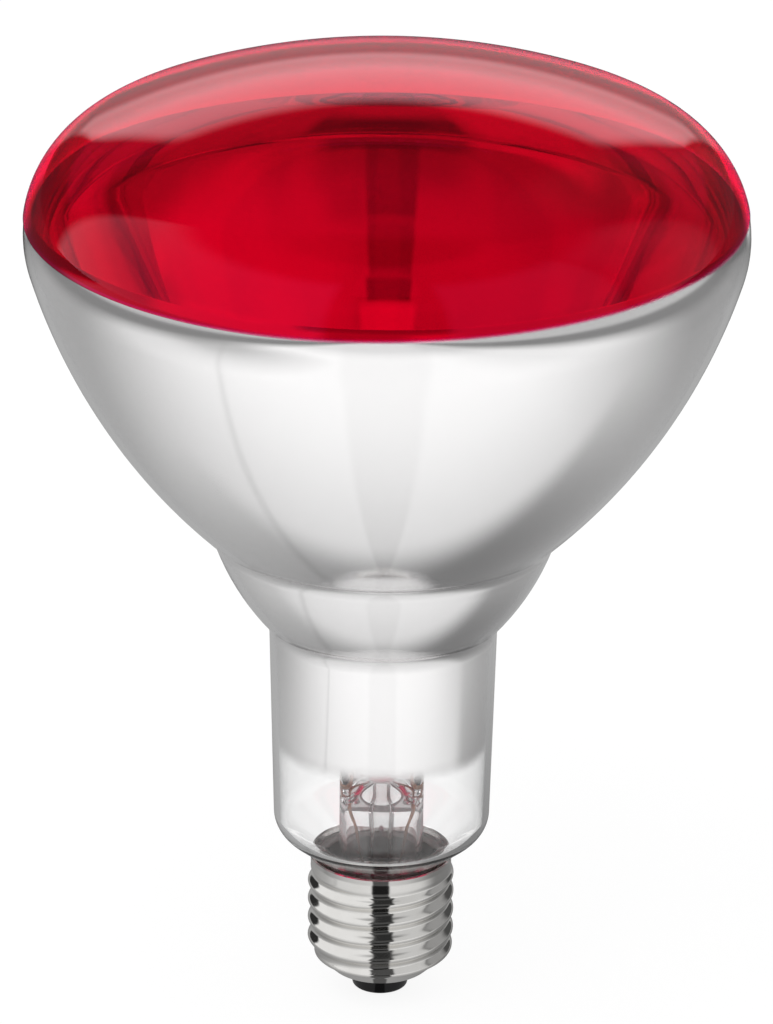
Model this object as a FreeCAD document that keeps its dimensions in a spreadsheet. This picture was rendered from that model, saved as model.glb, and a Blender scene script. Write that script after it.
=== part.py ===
"""Infrared heat lamp bulb: a 125 mm reflector bulb on a 27 mm screw cap.

The lamp stands on the tip of its centre contact with its red face up, and the axis of the glass is +Z.
The origin is the tip of the contact. Sizes are in millimetres and angles in degrees.
"""

import FreeCAD
import Part
import math
import os
import re
import Sketcher
from collections import namedtuple

SIZES = {
    # blown glass envelope, outside
    "equator_radius": 62.5,
    "dome_radius": 130.0,
    "shoulder_radius": 19.5,
    "shoulder_sweep": 16.5,
    "bowl_height": 55.4,
    "throat_radius": 30.4,
    "groove_fillet": 7.5,
    "bulge_radius": 45.7,
    "bulge_height": 17.65,
    "neck_top_radius": 20.15,
    "neck_fillet": 5.5,
    "neck_length": 39.0,
    "neck_low_radius": 19.2,
    "neck_low_fillet": 5.0,
    "neck_cone_angle": 51.0,
    "spigot_radius": 10.7,
    "spigot_length": 11.0,
    "spigot_fillet": 1.5,
    "glass_wall": 1.1,
    # red lacquer on the face and mirror film inside, both drawn thicker than the real coats
    "lacquer_rise": 3.0,
    "lacquer_thickness": 0.2,
    "mirror_rise": 5.0,
    "mirror_thickness": 0.2,
    "window_height": 15.2,
    # stem: flare, tube and press, and the exhaust tube
    "flare_rim": 1.4,
    "flare_height": 4.5,
    "flare_fillet": 2.5,
    "stem_radius": 7.5,
    "stem_wall": 1.1,
    "stem_length": 23.5,
    "bore_end_length": 3.0,
    "press_length": 10.5,
    "press_thickness": 4.6,
    "press_shoulder": 4.5,
    "exhaust_radius": 2.1,
    "exhaust_wall": 0.7,
    "exhaust_length": 26.5,
    "exhaust_seal": 1.5,
    # leads
    "lead_radius": 0.45,
    "lead_offset": 5.2,
    "lead_foot_depth": 7.0,
    "lead_bend": 1.6,
    "lead_rise_gap": 12.0,
    "lead_hook": 4.0,
    "copper_radius": 0.3,
    "copper_waist": 4.0,
    "copper_waist_height": 12.0,
    "copper_exit": 3.4,
    "copper_exit_drop": 1.5,
    "copper_bend": 1.2,
    "side_lead_drop": 2.2,
    "side_lead_clearance": 0.1,
    # support rod, support wires and filament
    "rod_radius": 1.6,
    "rod_foot_depth": 3.0,
    "button_radius": 3.4,
    "button_length": 5.0,
    "button_fillet": 1.2,
    "button_drop": 7.0,
    "filament_rise": 7.6,
    "filament_ring": 14.0,
    "filament_sweep": 250.0,
    "coil_radius": 0.9,
    "support_count": 5,
    "support_radius": 0.25,
    "support_foot_depth": 1.6,
    "support_knee": 9.0,
    "support_bend": 1.5,
    "loop_clearance": 0.1,
    # screw shell
    "cap_height": 27.0,
    "lip_radius": 12.95,
    "lip_length": 1.1,
    "collar_length": 2.4,
    "thread_major": 13.1,
    "thread_minor": 12.1,
    "thread_pitch": 3.629,
    "thread_start": 1.2,
    "thread_foot": 6.0,
    "thread_fade": 2.0,
    "shoulder_height": 8.2,
    "shoulder_fillet": 3.0,
    "shoulder_slope": 1.05,
    "dish_radius": 8.9,
    "dish_drop": 0.6,
    "mouth_radius": 5.6,
    "shell_wall": 0.35,
    # insulator, contact plate, solder and cement
    "fit_clearance": 0.05,
    "rim_clearance": 0.75,
    "insulator_top": 6.8,
    "boss_low_radius": 4.9,
    "boss_low_height": 0.5,
    "boss_fillet": 0.4,
    "wire_hole_radius": 0.9,
    "contact_radius": 3.6,
    "contact_thickness": 0.5,
    "contact_seat": 0.2,
    "solder_radius": 2.2,
    "solder_flat_radius": 1.4,
    "solder_plug_length": 1.2,
    "side_solder_radius": 1.5,
    "side_solder_drop": 0.3,
    "cement_gap": 0.4,
    "cement_length": 8.7,
}

# How far apart edges may lie that are sewn into one skin, and how often a rounding's centre is bettered
SEWING_GAP = 0.001
ROUNDING_STEPS = 20

doc = FreeCAD.newDocument("heat_lamp")
sheet = doc.addObject("Spreadsheet::Sheet", "Sizes")
for row, (alias, amount) in enumerate(SIZES.items(), start=1):
    sheet.set(f"A{row}", alias)
    sheet.set(f"B{row}", str(amount))
    sheet.setAlias(f"B{row}", alias)
doc.recompute()


def bound(formula):
    """A formula over the sheet's aliases, as an expression that reads the sheet."""
    return re.sub(r"\b(" + "|".join(SIZES) + r")\b", r"Sizes.\1", str(formula))


def value(formula):
    """What a formula gives with the sheet's present sizes."""
    return float(sheet.evalExpression(bound(formula)))


# An outline's corner: its place, the radius that rounds it, and the radius of the side that leaves it, if
# that is an arc that bulges outwards. Corners run anticlockwise, so the solid lies to the left of every side.
Corner = namedtuple("Corner", "across up round bend", defaults=(None, None))


def left_of(direction):
    return FreeCAD.Vector(-direction.y, direction.x, 0).normalize()


class Side:
    """A straight side of an outline, or an arc that turns left (1) or right (-1) about its centre."""

    def __init__(self, start, end, centre=None, turn=0):
        self.start = start
        self.end = end
        self.centre = centre
        self.turn = turn
        self.head, self.tail = (2, 1) if turn < 0 else (1, 2)
        self.radius = (start - centre).Length if turn else 0

    def normal_at(self, point):
        if self.turn:
            return (self.centre - point).normalize() * self.turn
        return left_of(self.end - self.start)

    def offset(self, point):
        """How far a point lies to the left of the side."""
        if self.turn:
            return (self.radius - (point - self.centre).Length) * self.turn
        return (point - self.start).dot(left_of(self.end - self.start))

    def nearest(self, point):
        return point - self.normal_at(point) * self.offset(point)

    def moved(self, inset):
        """The same side, moved to the left."""
        start = self.start + self.normal_at(self.start) * inset
        end = self.end + self.normal_at(self.end) * inset
        return Side(start, end, self.centre, self.turn)

    def curve(self):
        if not self.turn:
            return Part.LineSegment(self.start, self.end)
        ends = (self.start, self.end)[::self.turn]
        angles = [math.atan2(p.y - self.centre.y, p.x - self.centre.x) for p in ends]
        return Part.ArcOfCircle(Part.Circle(self.centre, FreeCAD.Vector(0, 0, 1), self.radius), *angles)


def bulging_side(start, end, radius):
    chord = end - start
    rise = math.sqrt(radius ** 2 - chord.Length ** 2 / 4)
    return Side(start, end, (start + end) / 2 + left_of(chord) * rise, 1)


def rounding(before, after, radius):
    """The arc that rounds the corner between two sides, which are shortened to meet it."""
    corner = after.start
    first = before.normal_at(corner)
    second = after.normal_at(corner)
    turn = 1 if left_of(first).dot(second) > 0 else -1
    centre = corner + (first + second) * (turn * radius / (1 + first.dot(second)))
    for _ in range(ROUNDING_STEPS):
        first = before.normal_at(centre)
        second = after.normal_at(centre)
        miss = [turn * radius - side.offset(centre) for side in (before, after)]
        spread = first.x * second.y - first.y * second.x
        centre = centre + FreeCAD.Vector(
            (miss[0] * second.y - miss[1] * first.y) / spread,
            (miss[1] * first.x - miss[0] * second.x) / spread,
            0,
        )
    before.end = before.nearest(centre)
    after.start = after.nearest(centre)
    return Side(before.end, after.start, centre, turn)


def tie(sketch, kind, *where):
    """Adds a constraint. The size of a dimension comes last and is a formula."""
    if kind in ("Distance", "DistanceX", "DistanceY", "Radius"):
        formula = where[-1]
        index = sketch.addConstraint(Sketcher.Constraint(kind, *where[:-1], value(formula)))
        sketch.setExpression(f"Constraints[{index}]", bound(formula))
    else:
        sketch.addConstraint(Sketcher.Constraint(kind, *where))


def place(sketch, geometry, position, across, up):
    """Ties a point of the sketch to two formulas."""
    if across == 0:
        tie(sketch, "PointOnObject", geometry, position, -2)
    else:
        tie(sketch, "DistanceX", -1, 1, geometry, position, across)
    if up == 0:
        tie(sketch, "PointOnObject", geometry, position, -1)
    else:
        tie(sketch, "DistanceY", -1, 1, geometry, position, up)


def new_sketch(body, name, plane, lift=None):
    """An empty sketch on one of the body's own origin planes, or lifted off it."""
    sketch = body.newObject("Sketcher::SketchObject", name)
    sketch.AttachmentSupport = [(f, "") for f in body.Origin.OriginFeatures if f.Role == plane]
    sketch.MapMode = "FlatFace"
    if lift is not None:
        sketch.setExpression("AttachmentOffset.Base.z", bound(lift))
    return sketch


def draw_outline(sketch, corners, construction=False):
    """Draws a closed outline tied to the sheet, and gives its sides and rounded corners in order."""
    points = [FreeCAD.Vector(value(c.across), value(c.up), 0) for c in corners]
    sides = []
    for corner, start, end in zip(corners, points, points[1:] + points[:1]):
        sides.append(bulging_side(start, end, value(corner.bend)) if corner.bend else Side(start, end))
    rounds = [rounding(sides[k - 1], sides[k], value(c.round)) if c.round else None
              for k, c in enumerate(corners)]
    for side in sides + [r for r in rounds if r]:
        side.number = sketch.addGeometry(side.curve(), construction)
    drawn = []
    for k, (corner, side, arc) in enumerate(zip(corners, sides, rounds)):
        before = sides[k - 1]
        if arc:
            tie(sketch, "Tangent", before.number, before.tail, arc.number, arc.head)
            tie(sketch, "Tangent", arc.number, arc.tail, side.number, side.head)
            tie(sketch, "Radius", arc.number, corner.round)
            mark = sketch.addGeometry(Part.Point(points[k]), True)
            tie(sketch, "PointOnObject", mark, 1, before.number)
            tie(sketch, "PointOnObject", mark, 1, side.number)
            place(sketch, mark, 1, corner.across, corner.up)
            drawn.append(arc)
        else:
            tie(sketch, "Coincident", before.number, before.tail, side.number, side.head)
            place(sketch, side.number, side.head, corner.across, corner.up)
        if corner.bend:
            tie(sketch, "Radius", side.number, corner.bend)
        drawn.append(side)
    return drawn


def draw_inset(sketch, corners, inset):
    """Draws the outline that runs inside a smooth one, or outside it where the inset is negative.

    The first corner is on the axis at the foot, the last on the axis at the top, and every corner after the
    second is rounded or tangent, so that the inset keeps one distance all the way.
    """
    outer = draw_outline(sketch, corners, True)[1:-1]
    amount = value(inset)
    inner = [side.moved(amount) for side in outer]
    foot = FreeCAD.Vector(0, inner[0].start.y, 0)
    top = FreeCAD.Vector(0, inner[-1].end.y, 0)
    last = inner[-1]
    last.end = last.nearest(top)
    for side in inner:
        side.number = sketch.addGeometry(side.curve(), False)
    for old, new in zip(outer, inner):
        if new.turn:
            tie(sketch, "Coincident", old.number, 3, new.number, 3)
        else:
            tie(sketch, "Parallel", old.number, new.number)
    for before, after in zip(inner, inner[1:]):
        tie(sketch, "Tangent", before.number, before.tail, after.number, after.head)
    base = sketch.addGeometry(Part.LineSegment(foot, inner[0].start), False)
    axis = sketch.addGeometry(Part.LineSegment(last.end, foot), False)
    tie(sketch, "Distance", inner[0].number, inner[0].head, outer[0].number, inset.lstrip("-"))
    tie(sketch, "Coincident", base, 2, inner[0].number, inner[0].head)
    tie(sketch, "Horizontal", base)
    tie(sketch, "Coincident", axis, 2, base, 1)
    tie(sketch, "Coincident", axis, 1, last.number, last.tail)
    place(sketch, base, 1, 0, corners[0].up)
    tie(sketch, "PointOnObject", last.number, last.tail, -2)


def new_body(label):
    body = doc.addObject("PartDesign::Body", label)
    body.Label = label
    return body


def revolve(body, name, sketch):
    """Turns a closed outline about the lamp's axis."""
    turned = body.newObject("PartDesign::Revolution", name)
    turned.Profile = sketch
    turned.ReferenceAxis = (sketch, ["V_Axis"])
    turned.Angle = 360
    return turned


def draw_on_plane(body, name, corners, plane="XZ_Plane"):
    sketch = new_sketch(body, name, plane)
    draw_outline(sketch, corners)
    return sketch


def turned_body(label, corners):
    """A body made by turning one outline about the lamp's axis."""
    body = new_body(label)
    revolve(body, f"{label}_turned", draw_on_plane(body, f"{label}_section", corners))
    return body


def boolean(kind, label, base, tool):
    thing = doc.addObject(f"Part::{kind}", label)
    thing.Base = base
    thing.Tool = tool
    thing.Label = label
    return thing


def compound(label, things):
    together = doc.addObject("Part::Compound", label)
    together.Links = things
    return together


def shaped(label, shape):
    """A sub-part whose shape is worked out here from the sheet's sizes."""
    thing = doc.addObject("Part::Feature", label)
    thing.Shape = shape
    thing.Placement = FreeCAD.Placement()
    thing.Label = label
    return thing


def point(x, y, z):
    return FreeCAD.Vector(x, y, z)


def wire_along(points, radius, bend):
    """A round wire that follows straight runs joined by tangent arcs."""
    edges = []
    reached = points[0]
    for before, corner, after in zip(points, points[1:], points[2:]):
        back = (before - corner).normalize()
        ahead = (after - corner).normalize()
        half = back.getAngle(ahead) / 2
        run = bend / math.tan(half)
        middle = corner + (back + ahead).normalize() * (bend / math.sin(half) - bend)
        edges.append(Part.LineSegment(reached, corner + back * run).toShape())
        edges.append(Part.Arc(corner + back * run, middle, corner + ahead * run).toShape())
        reached = corner + ahead * run
    edges.append(Part.LineSegment(reached, points[-1]).toShape())
    ring = Part.Wire(Part.makeCircle(radius, points[0], points[1] - points[0]))
    return Part.Wire(edges).makePipeShell([ring], True, False)


# Heights up the lamp, as formulas over the sheet's sizes
SEAL = "(cap_height - spigot_length)"
RIM_BORE = "(lip_radius - shell_wall)"
NECK_LOW = f"(cap_height + (neck_low_radius - {RIM_BORE} + rim_clearance) / tan(neck_cone_angle))"
CONE_LOW = f"({NECK_LOW} - (neck_low_radius - spigot_radius) / tan(neck_cone_angle))"
NECK_TOP = f"({NECK_LOW} + neck_length)"
THROAT = f"({NECK_TOP} + bulge_height)"
EQUATOR = f"({THROAT} + bowl_height)"
STEM_TOP = f"({SEAL} + stem_length)"
BORE_END = f"({STEM_TOP} + bore_end_length / 2)"
PRESS_TOP = f"({STEM_TOP} + press_length)"
WELD = f"({PRESS_TOP} - lead_foot_depth)"
FILAMENT = f"({THROAT} + filament_rise)"
BUTTON_TOP = f"({FILAMENT} - button_drop)"
DISH = "(shoulder_height - ((thread_major + thread_minor) / 2 - dish_radius) / shoulder_slope)"
MOUTH = f"({DISH} - dish_drop)"
CONTACT_TOP = "(boss_low_height + contact_seat)"
CONTACT_LOW = f"({CONTACT_TOP} - contact_thickness)"

# The shoulder's centre, and the two points where the bowl and the dome run into it without a corner
SHOULDER_OUT = "(equator_radius - shoulder_radius)"
DOME_IN = f"(sqrt((dome_radius - shoulder_radius)^2 - {SHOULDER_OUT}^2))"
APEX = f"({EQUATOR} - {DOME_IN} + dome_radius)"
SHOULDER_LOW = (
    f"({SHOULDER_OUT} + shoulder_radius * cos(shoulder_sweep))",
    f"({EQUATOR} - shoulder_radius * sin(shoulder_sweep))",
)
SHOULDER_TOP = (
    f"(dome_radius * {SHOULDER_OUT} / (dome_radius - shoulder_radius))",
    f"({APEX} - dome_radius + dome_radius * {DOME_IN} / (dome_radius - shoulder_radius))",
)
BOWL_OUT = f"({SHOULDER_LOW[0]} - throat_radius)"
BOWL_UP = f"({SHOULDER_LOW[1]} - {THROAT})"
BOWL_RADIUS = (
    f"(({BOWL_OUT}^2 + {BOWL_UP}^2) / 2"
    f" / ({BOWL_OUT} * cos(shoulder_sweep) - {BOWL_UP} * sin(shoulder_sweep)))"
)

# The envelope's outside, from its open foot up to the middle of the face
ENVELOPE = [
    Corner(0, SEAL),
    Corner("spigot_radius", SEAL),
    Corner("spigot_radius", CONE_LOW, "spigot_fillet"),
    Corner("neck_low_radius", NECK_LOW, "neck_low_fillet"),
    Corner("neck_top_radius", NECK_TOP, "neck_fillet", "bulge_radius"),
    Corner("throat_radius", THROAT, "groove_fillet", BOWL_RADIUS),
    Corner(*SHOULDER_LOW, None, "shoulder_radius"),
    Corner(*SHOULDER_TOP, None, "dome_radius"),
    Corner(0, APEX),
]


def envelope_form(label, inset=None):
    """The envelope's solid form, or the form that lies inside it (outside, for a negative inset)."""
    body = new_body(label)
    sketch = new_sketch(body, f"{label}_section", "XZ_Plane")
    if inset:
        draw_inset(sketch, ENVELOPE, inset)
    else:
        draw_outline(sketch, ENVELOPE)
    revolve(body, f"{label}_turned", sketch)
    return body


def band(label, low, high):
    """A plain disc between two heights, wider than the lamp."""
    slice_of_lamp = doc.addObject("Part::Cylinder", label)
    slice_of_lamp.setExpression("Radius", bound("equator_radius + shoulder_radius"))
    slice_of_lamp.setExpression("Height", bound(f"{high} - {low}"))
    slice_of_lamp.setExpression("Placement.Base.z", bound(low))
    return slice_of_lamp


def make_envelope():
    """One blown bulb, the mirror film inside it and the red lacquer on its face."""
    outside = envelope_form("glass_outside")
    inside = envelope_form("glass_inside", "glass_wall")
    mirror_inside = envelope_form("mirror_inside", "(glass_wall + mirror_thickness)")
    lacquer_outside = envelope_form("lacquer_outside", "-lacquer_thickness")
    mirror_band = band("mirror_band", f"({NECK_LOW} + window_height)", f"({EQUATOR} + mirror_rise)")
    face_band = band("face_band", f"({EQUATOR} + lacquer_rise)", f"({APEX} + shoulder_radius)")
    film = boolean("Cut", "film_blank", inside, mirror_inside)
    coat = boolean("Cut", "coat_blank", lacquer_outside, outside)
    return {
        "glass_envelope": boolean("Cut", "glass_envelope", outside, inside),
        "mirror_coating": boolean("Common", "mirror_coating", film, mirror_band),
        "red_face_coating": boolean("Common", "red_face_coating", coat, face_band),
    }


def make_stem_blank():
    """Flare, tube and press of one piece of glass, before the wires are sealed in."""
    flare_bore = "(spigot_radius - glass_wall)"
    bore = "(stem_radius - stem_wall)"
    above = f"({PRESS_TOP} + stem_wall)"
    stem = new_body("stem_blank")
    section = draw_on_plane(stem, "stem_section", [
        Corner(f"({flare_bore} - stem_wall)", SEAL),
        Corner(flare_bore, SEAL),
        Corner(flare_bore, f"({SEAL} + flare_rim)"),
        Corner("stem_radius", f"({SEAL} + flare_height)", "flare_fillet"),
        Corner("stem_radius", PRESS_TOP),
        Corner(0, PRESS_TOP),
        Corner(0, BORE_END),
        Corner("exhaust_radius", BORE_END),
        Corner(bore, f"({STEM_TOP} - bore_end_length / 2)"),
        Corner(bore, f"({SEAL} + flare_height - stem_wall)", "flare_fillet"),
    ])
    revolve(stem, "stem_turned", section)
    flats = new_sketch(stem, "press_flats_section", "YZ_Plane")
    for side in (1, -1):
        near = f"({side} * press_thickness / 2)"
        far = f"({side} * stem_radius * 2)"
        corners = [
            Corner(f"({side} * stem_radius)", STEM_TOP),
            Corner(far, STEM_TOP),
            Corner(far, above),
            Corner(near, above),
            Corner(near, f"({STEM_TOP} + press_shoulder)"),
        ]
        draw_outline(flats, corners[::side])
    flattened = stem.newObject("PartDesign::Pocket", "press_flats")
    flattened.Profile = flats
    flattened.Type = "ThroughAll"
    flattened.SideType = "Symmetric"
    return stem


def make_exhaust_tube():
    """The tube that the bulb was pumped through, sealed off at its foot."""
    bore = "(exhaust_radius - exhaust_wall)"
    tip = f"({BORE_END} - exhaust_length)"
    return turned_body("exhaust_tube", [
        Corner(0, tip),
        Corner(bore, tip),
        Corner("exhaust_radius", f"({tip} + exhaust_seal)"),
        Corner("exhaust_radius", BORE_END),
        Corner(bore, BORE_END),
        Corner(bore, f"({tip} + 2 * exhaust_seal)"),
        Corner(0, f"({tip} + exhaust_seal)"),
    ])


def filament_end(side):
    """The end of the filament on one side, and the way that it points there."""
    angle = math.radians(90 - side * value("filament_sweep") / 2)
    ring = value("filament_ring")
    end = point(ring * math.cos(angle), ring * math.sin(angle), value(FILAMENT))
    return end, point(math.sin(angle), -math.cos(angle), 0) * side


def inner_lead(label, side):
    """A nickel lead from its weld in the press up to the end of the filament."""
    out = side * value("lead_offset")
    end, away = filament_end(side)
    route = [
        point(out, 0, value(WELD)),
        point(out, 0, value(f"{FILAMENT} - lead_rise_gap")),
        end + away * value("lead_hook"),
        end,
    ]
    return shaped(label, wire_along(route, value("lead_radius"), value("lead_bend")))


def outer_lead(label, side, way_out):
    """A copper lead from its weld in the press down the stem, and on to its contact."""
    route = [
        point(side * value("lead_offset"), 0, value(WELD)),
        point(side * value("lead_offset"), 0, value(f"{STEM_TOP} - bore_end_length")),
        point(side * value("copper_waist"), 0, value(f"{SEAL} + copper_waist_height")),
        point(side * value("copper_exit"), 0, value(f"{SEAL} - copper_exit_drop")),
    ]
    return shaped(label, wire_along(route + way_out, value("copper_radius"), value("copper_bend")))


def make_rod_blank():
    """A glass cane melted into the press, with a button at its top that holds the support wires."""
    low = f"({BUTTON_TOP} - button_length)"
    return turned_body("rod_blank", [
        Corner(0, f"({PRESS_TOP} - rod_foot_depth)"),
        Corner("rod_radius", f"({PRESS_TOP} - rod_foot_depth)"),
        Corner("rod_radius", low),
        Corner("button_radius", low, "button_fillet"),
        Corner("button_radius", BUTTON_TOP, "button_fillet"),
        Corner(0, BUTTON_TOP),
    ])


def make_filament():
    """The coil's outer form: a ring of round section, open between the two leads."""
    ring = doc.addObject("Part::Torus", "filament")
    ring.setExpression("Radius1", bound("filament_ring"))
    ring.setExpression("Radius2", bound("coil_radius"))
    ring.setExpression("Angle3", bound("filament_sweep"))
    ring.setExpression("Placement.Base.z", bound(FILAMENT))
    ring.setExpression("Placement.Rotation.Yaw", bound("90 - filament_sweep / 2"))
    return ring


def make_support(label, turn):
    """A molybdenum wire from the button out to the filament, which runs through its loop."""
    height = value(f"{BUTTON_TOP} - button_length / 2")
    radius = value("support_radius")
    loop = value("coil_radius + loop_clearance + support_radius")
    out = point(math.cos(math.radians(turn)), math.sin(math.radians(turn)), 0)
    up = point(0, 0, 1)
    route = [
        out * value("button_radius - support_foot_depth") + up * height,
        out * value("support_knee") + up * height,
        out * value("filament_ring") + up * (value(FILAMENT) - loop),
    ]
    wire = wire_along(route, radius, value("support_bend"))
    eye = Part.makeTorus(loop, radius, out * value("filament_ring") + up * value(FILAMENT), up.cross(out))
    return shaped(label, wire.fuse(eye))


def make_mount():
    """Everything that the bulb's stem carries: leads, rod, supports and filament."""
    pieces = {
        "inner_lead_left": inner_lead("inner_lead_left", -1),
        "inner_lead_right": inner_lead("inner_lead_right", 1),
        "outer_lead_centre": outer_lead("outer_lead_centre", -1, [
            point(0, 0, value("insulator_top + copper_exit")),
            point(0, 0, value(CONTACT_TOP)),
        ]),
        "exhaust_tube": make_exhaust_tube(),
        "filament": make_filament(),
    }
    bore = value("(thread_major + thread_minor) / 2 - shell_wall")
    inside_rim = bore - value("side_lead_clearance + copper_radius")
    beside_spigot = value("(spigot_radius + thread_minor - shell_wall) / 2")
    pieces["outer_lead_side"] = outer_lead("outer_lead_side", 1, [
        point(0, beside_spigot, value(f"{SEAL} - copper_exit_drop - side_lead_drop")),
        point(0, beside_spigot, value("cap_height - collar_length - side_solder_radius")),
        point(0, inside_rim, value("cap_height - lip_length")),
    ])
    count = int(value("support_count"))
    sweep = value("filament_sweep")
    supports = {}
    for number in range(count):
        label = f"support_wire_{number + 1}"
        supports[label] = make_support(label, 90 + sweep * ((number + 0.5) / count - 0.5))
    feet = compound("support_feet", list(supports.values()))
    rod = boolean("Cut", "support_rod", make_rod_blank(), feet)
    sealed_in = [pieces[name] for name in pieces if "lead" in name] + [rod]
    stem = boolean("Cut", "stem", make_stem_blank(), compound("sealed_wires", sealed_in))
    return {"stem": stem, "support_rod": rod, **supports, **pieces}


def smooth(share):
    share = min(max(share, 0), 1)
    return share * share * (3 - 2 * share)


def turned(corners):
    """What a line through corners (radius, height) sweeps about the lamp's axis: a solid if it is closed."""
    line = Part.makePolygon([point(across, 0, up) for across, up in corners])
    return (Part.Face(line) if line.isClosed() else line).revolve(point(0, 0, 0), point(0, 0, 1), 360)


def disc(radius, low, high):
    return Part.makeCylinder(radius, high - low, point(0, 0, low))


class CapSurface:
    """The outside of the cap's shell, or the surface that lies an inset inside it.

    A knuckle thread is a round bar whose middle runs round the axis on a small helix, so every level cut is
    a circle off the axis. The throw of the helix fades out towards the collar and the foot.
    """

    def __init__(self, inset):
        grade = value("dish_drop / (dish_radius - mouth_radius)")
        self.inset = inset
        self.mean = value("(thread_major + thread_minor) / 2")
        self.slope = value("shoulder_slope")
        self.cone_inset = inset * math.hypot(1, self.slope)
        dish_lift = inset * math.hypot(1, grade) - grade * self.cone_inset
        self.low = value(DISH) + dish_lift / (1 - grade * self.slope)
        self.top = value("cap_height - collar_length")
        self.dish_edge = self.radius_at(self.low)
        self.mouth_height = self.low - (self.dish_edge - value("mouth_radius")) * grade

    def radius_at(self, height):
        """The radius of a level cut: straight, rounded at the shoulder, then a cone."""
        corner = value("shoulder_height")
        fillet = value("shoulder_fillet")
        lean = math.atan(self.slope)
        bend_top = corner + fillet * math.tan(lean / 2)
        if height >= bend_top:
            return self.mean - self.inset
        if height > bend_top - fillet * math.sin(lean):
            return self.mean - fillet + math.sqrt((fillet - self.inset) ** 2 - (bend_top - height) ** 2)
        return self.mean - self.cone_inset - (corner - height) * self.slope

    def level(self, height):
        """The circle of one level cut."""
        fade = value("thread_fade")
        throw = value("(thread_major - thread_minor) / 2")
        throw *= smooth((height - value("thread_foot")) / fade) * smooth((self.top - height) / fade)
        angle = 2 * math.pi * (height - value("thread_start")) / value("thread_pitch")
        middle = point(throw * math.cos(angle), throw * math.sin(angle), height)
        return Part.Wire(Part.makeCircle(self.radius_at(height), middle, point(0, 0, 1)))

    def threaded(self, top, solid):
        """The surface from the edge of the dish up to a height."""
        levels_per_turn = 14
        count = math.ceil((top - self.low) / value("thread_pitch") * levels_per_turn)
        levels = [self.level(self.low + (top - self.low) * k / count) for k in range(count + 1)]
        return Part.makeLoft(levels, solid, False)


def make_shell():
    """Rolled and nickel plated shell with a knuckle thread, turned in at its foot."""
    outside = CapSurface(0)
    bore = CapSurface(value("shell_wall"))
    rim = value("cap_height")
    lip_foot = value("cap_height - lip_length")
    lip = value("lip_radius")
    mouth = value("mouth_radius")
    collar = turned([
        (outside.mean, outside.top),
        (outside.mean, lip_foot),
        (lip, rim),
        (lip - bore.inset, rim),
        (bore.mean - bore.inset, lip_foot),
        (bore.mean - bore.inset, bore.top),
    ])
    dish = turned([
        (outside.dish_edge, outside.low),
        (mouth, outside.mouth_height),
        (mouth, bore.mouth_height),
        (bore.dish_edge, bore.low),
    ])
    walls = [surface.threaded(surface.top, False) for surface in (outside, bore)]
    skin = Part.Compound([collar, dish] + walls)
    skin.sewShape(SEWING_GAP)
    solid = Part.Solid(Part.Shell(skin.Faces))
    if solid.Volume < 0:
        solid.reverse()
    return shaped("screw_shell", solid)


def make_insulator():
    """Black glass poured into the shell's foot, with a seat for the contact and a hole for the wire."""
    inside = CapSurface(value("shell_wall + fit_clearance"))
    top = value("insulator_top")
    mouth = value("mouth_radius")
    neck = value("mouth_radius - fit_clearance")
    foot = value("boss_low_radius")
    low = value("boss_low_height")
    fillet = value("boss_fillet")
    boss = turned([
        (0, low),
        (foot, low),
        (neck, value(MOUTH)),
        (neck, inside.mouth_height),
        (mouth, inside.mouth_height),
        (inside.dish_edge, inside.low),
        (0, inside.low),
        (0, low),
    ])
    rim = [edge for edge in boss.Edges if edge.BoundBox.ZMax < low + fillet]
    boss = boss.makeFillet(fillet, rim)
    seat = disc(value("contact_radius + fit_clearance"), 0, value(CONTACT_TOP))
    hole = disc(value("wire_hole_radius"), 0, top)
    poured = inside.threaded(top, True).fuse(boss)
    return shaped("insulator", poured.cut(seat).cut(hole).removeSplitter())


def make_cap(mount, glass_outside):
    """The screw cap with its insulator and contact, the solder on both leads and the cement that holds it."""
    shell = make_shell()
    contact = turned_body("contact_plate", [
        Corner("wire_hole_radius", CONTACT_LOW),
        Corner("contact_radius", CONTACT_LOW),
        Corner("contact_radius", CONTACT_TOP),
        Corner("wire_hole_radius", CONTACT_TOP),
    ])
    plug = "(wire_hole_radius - fit_clearance)"
    plug_top = f"({CONTACT_TOP} + solder_plug_length)"
    drop = turned_body("centre_solder_blank", [
        Corner(0, 0),
        Corner("solder_flat_radius", 0),
        Corner("solder_radius", CONTACT_LOW),
        Corner(plug, CONTACT_LOW),
        Corner(plug, plug_top),
        Corner(0, plug_top),
    ])
    ring = turned_body("cement_blank", [
        Corner("(spigot_radius + fit_clearance)", f"({SEAL} + cement_gap)"),
        Corner("(thread_minor - shell_wall - fit_clearance)", f"({SEAL} + cement_gap)"),
        Corner("(thread_minor - shell_wall - fit_clearance)", f"({SEAL} + cement_gap + cement_length)"),
        Corner("(spigot_radius + fit_clearance)", f"({SEAL} + cement_gap + cement_length)"),
    ])
    bead = doc.addObject("Part::Sphere", "side_solder_blank")
    bead.setExpression("Radius", bound("side_solder_radius"))
    bead.setExpression("Placement.Base.y", bound(RIM_BORE))
    bead.setExpression("Placement.Base.z", bound("cap_height - side_solder_drop"))
    off_shell = boolean("Cut", "solder_off_shell", bead, shell)
    off_glass = boolean("Cut", "solder_off_glass", off_shell, glass_outside)
    return {
        "screw_shell": shell,
        "insulator": make_insulator(),
        "contact_plate": contact,
        "centre_solder": boolean("Cut", "centre_solder", drop, mount["outer_lead_centre"]),
        "side_solder": boolean("Cut", "side_solder", off_glass, mount["outer_lead_side"]),
        "basing_cement": boolean("Cut", "basing_cement", ring, mount["outer_lead_side"]),
    }


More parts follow.
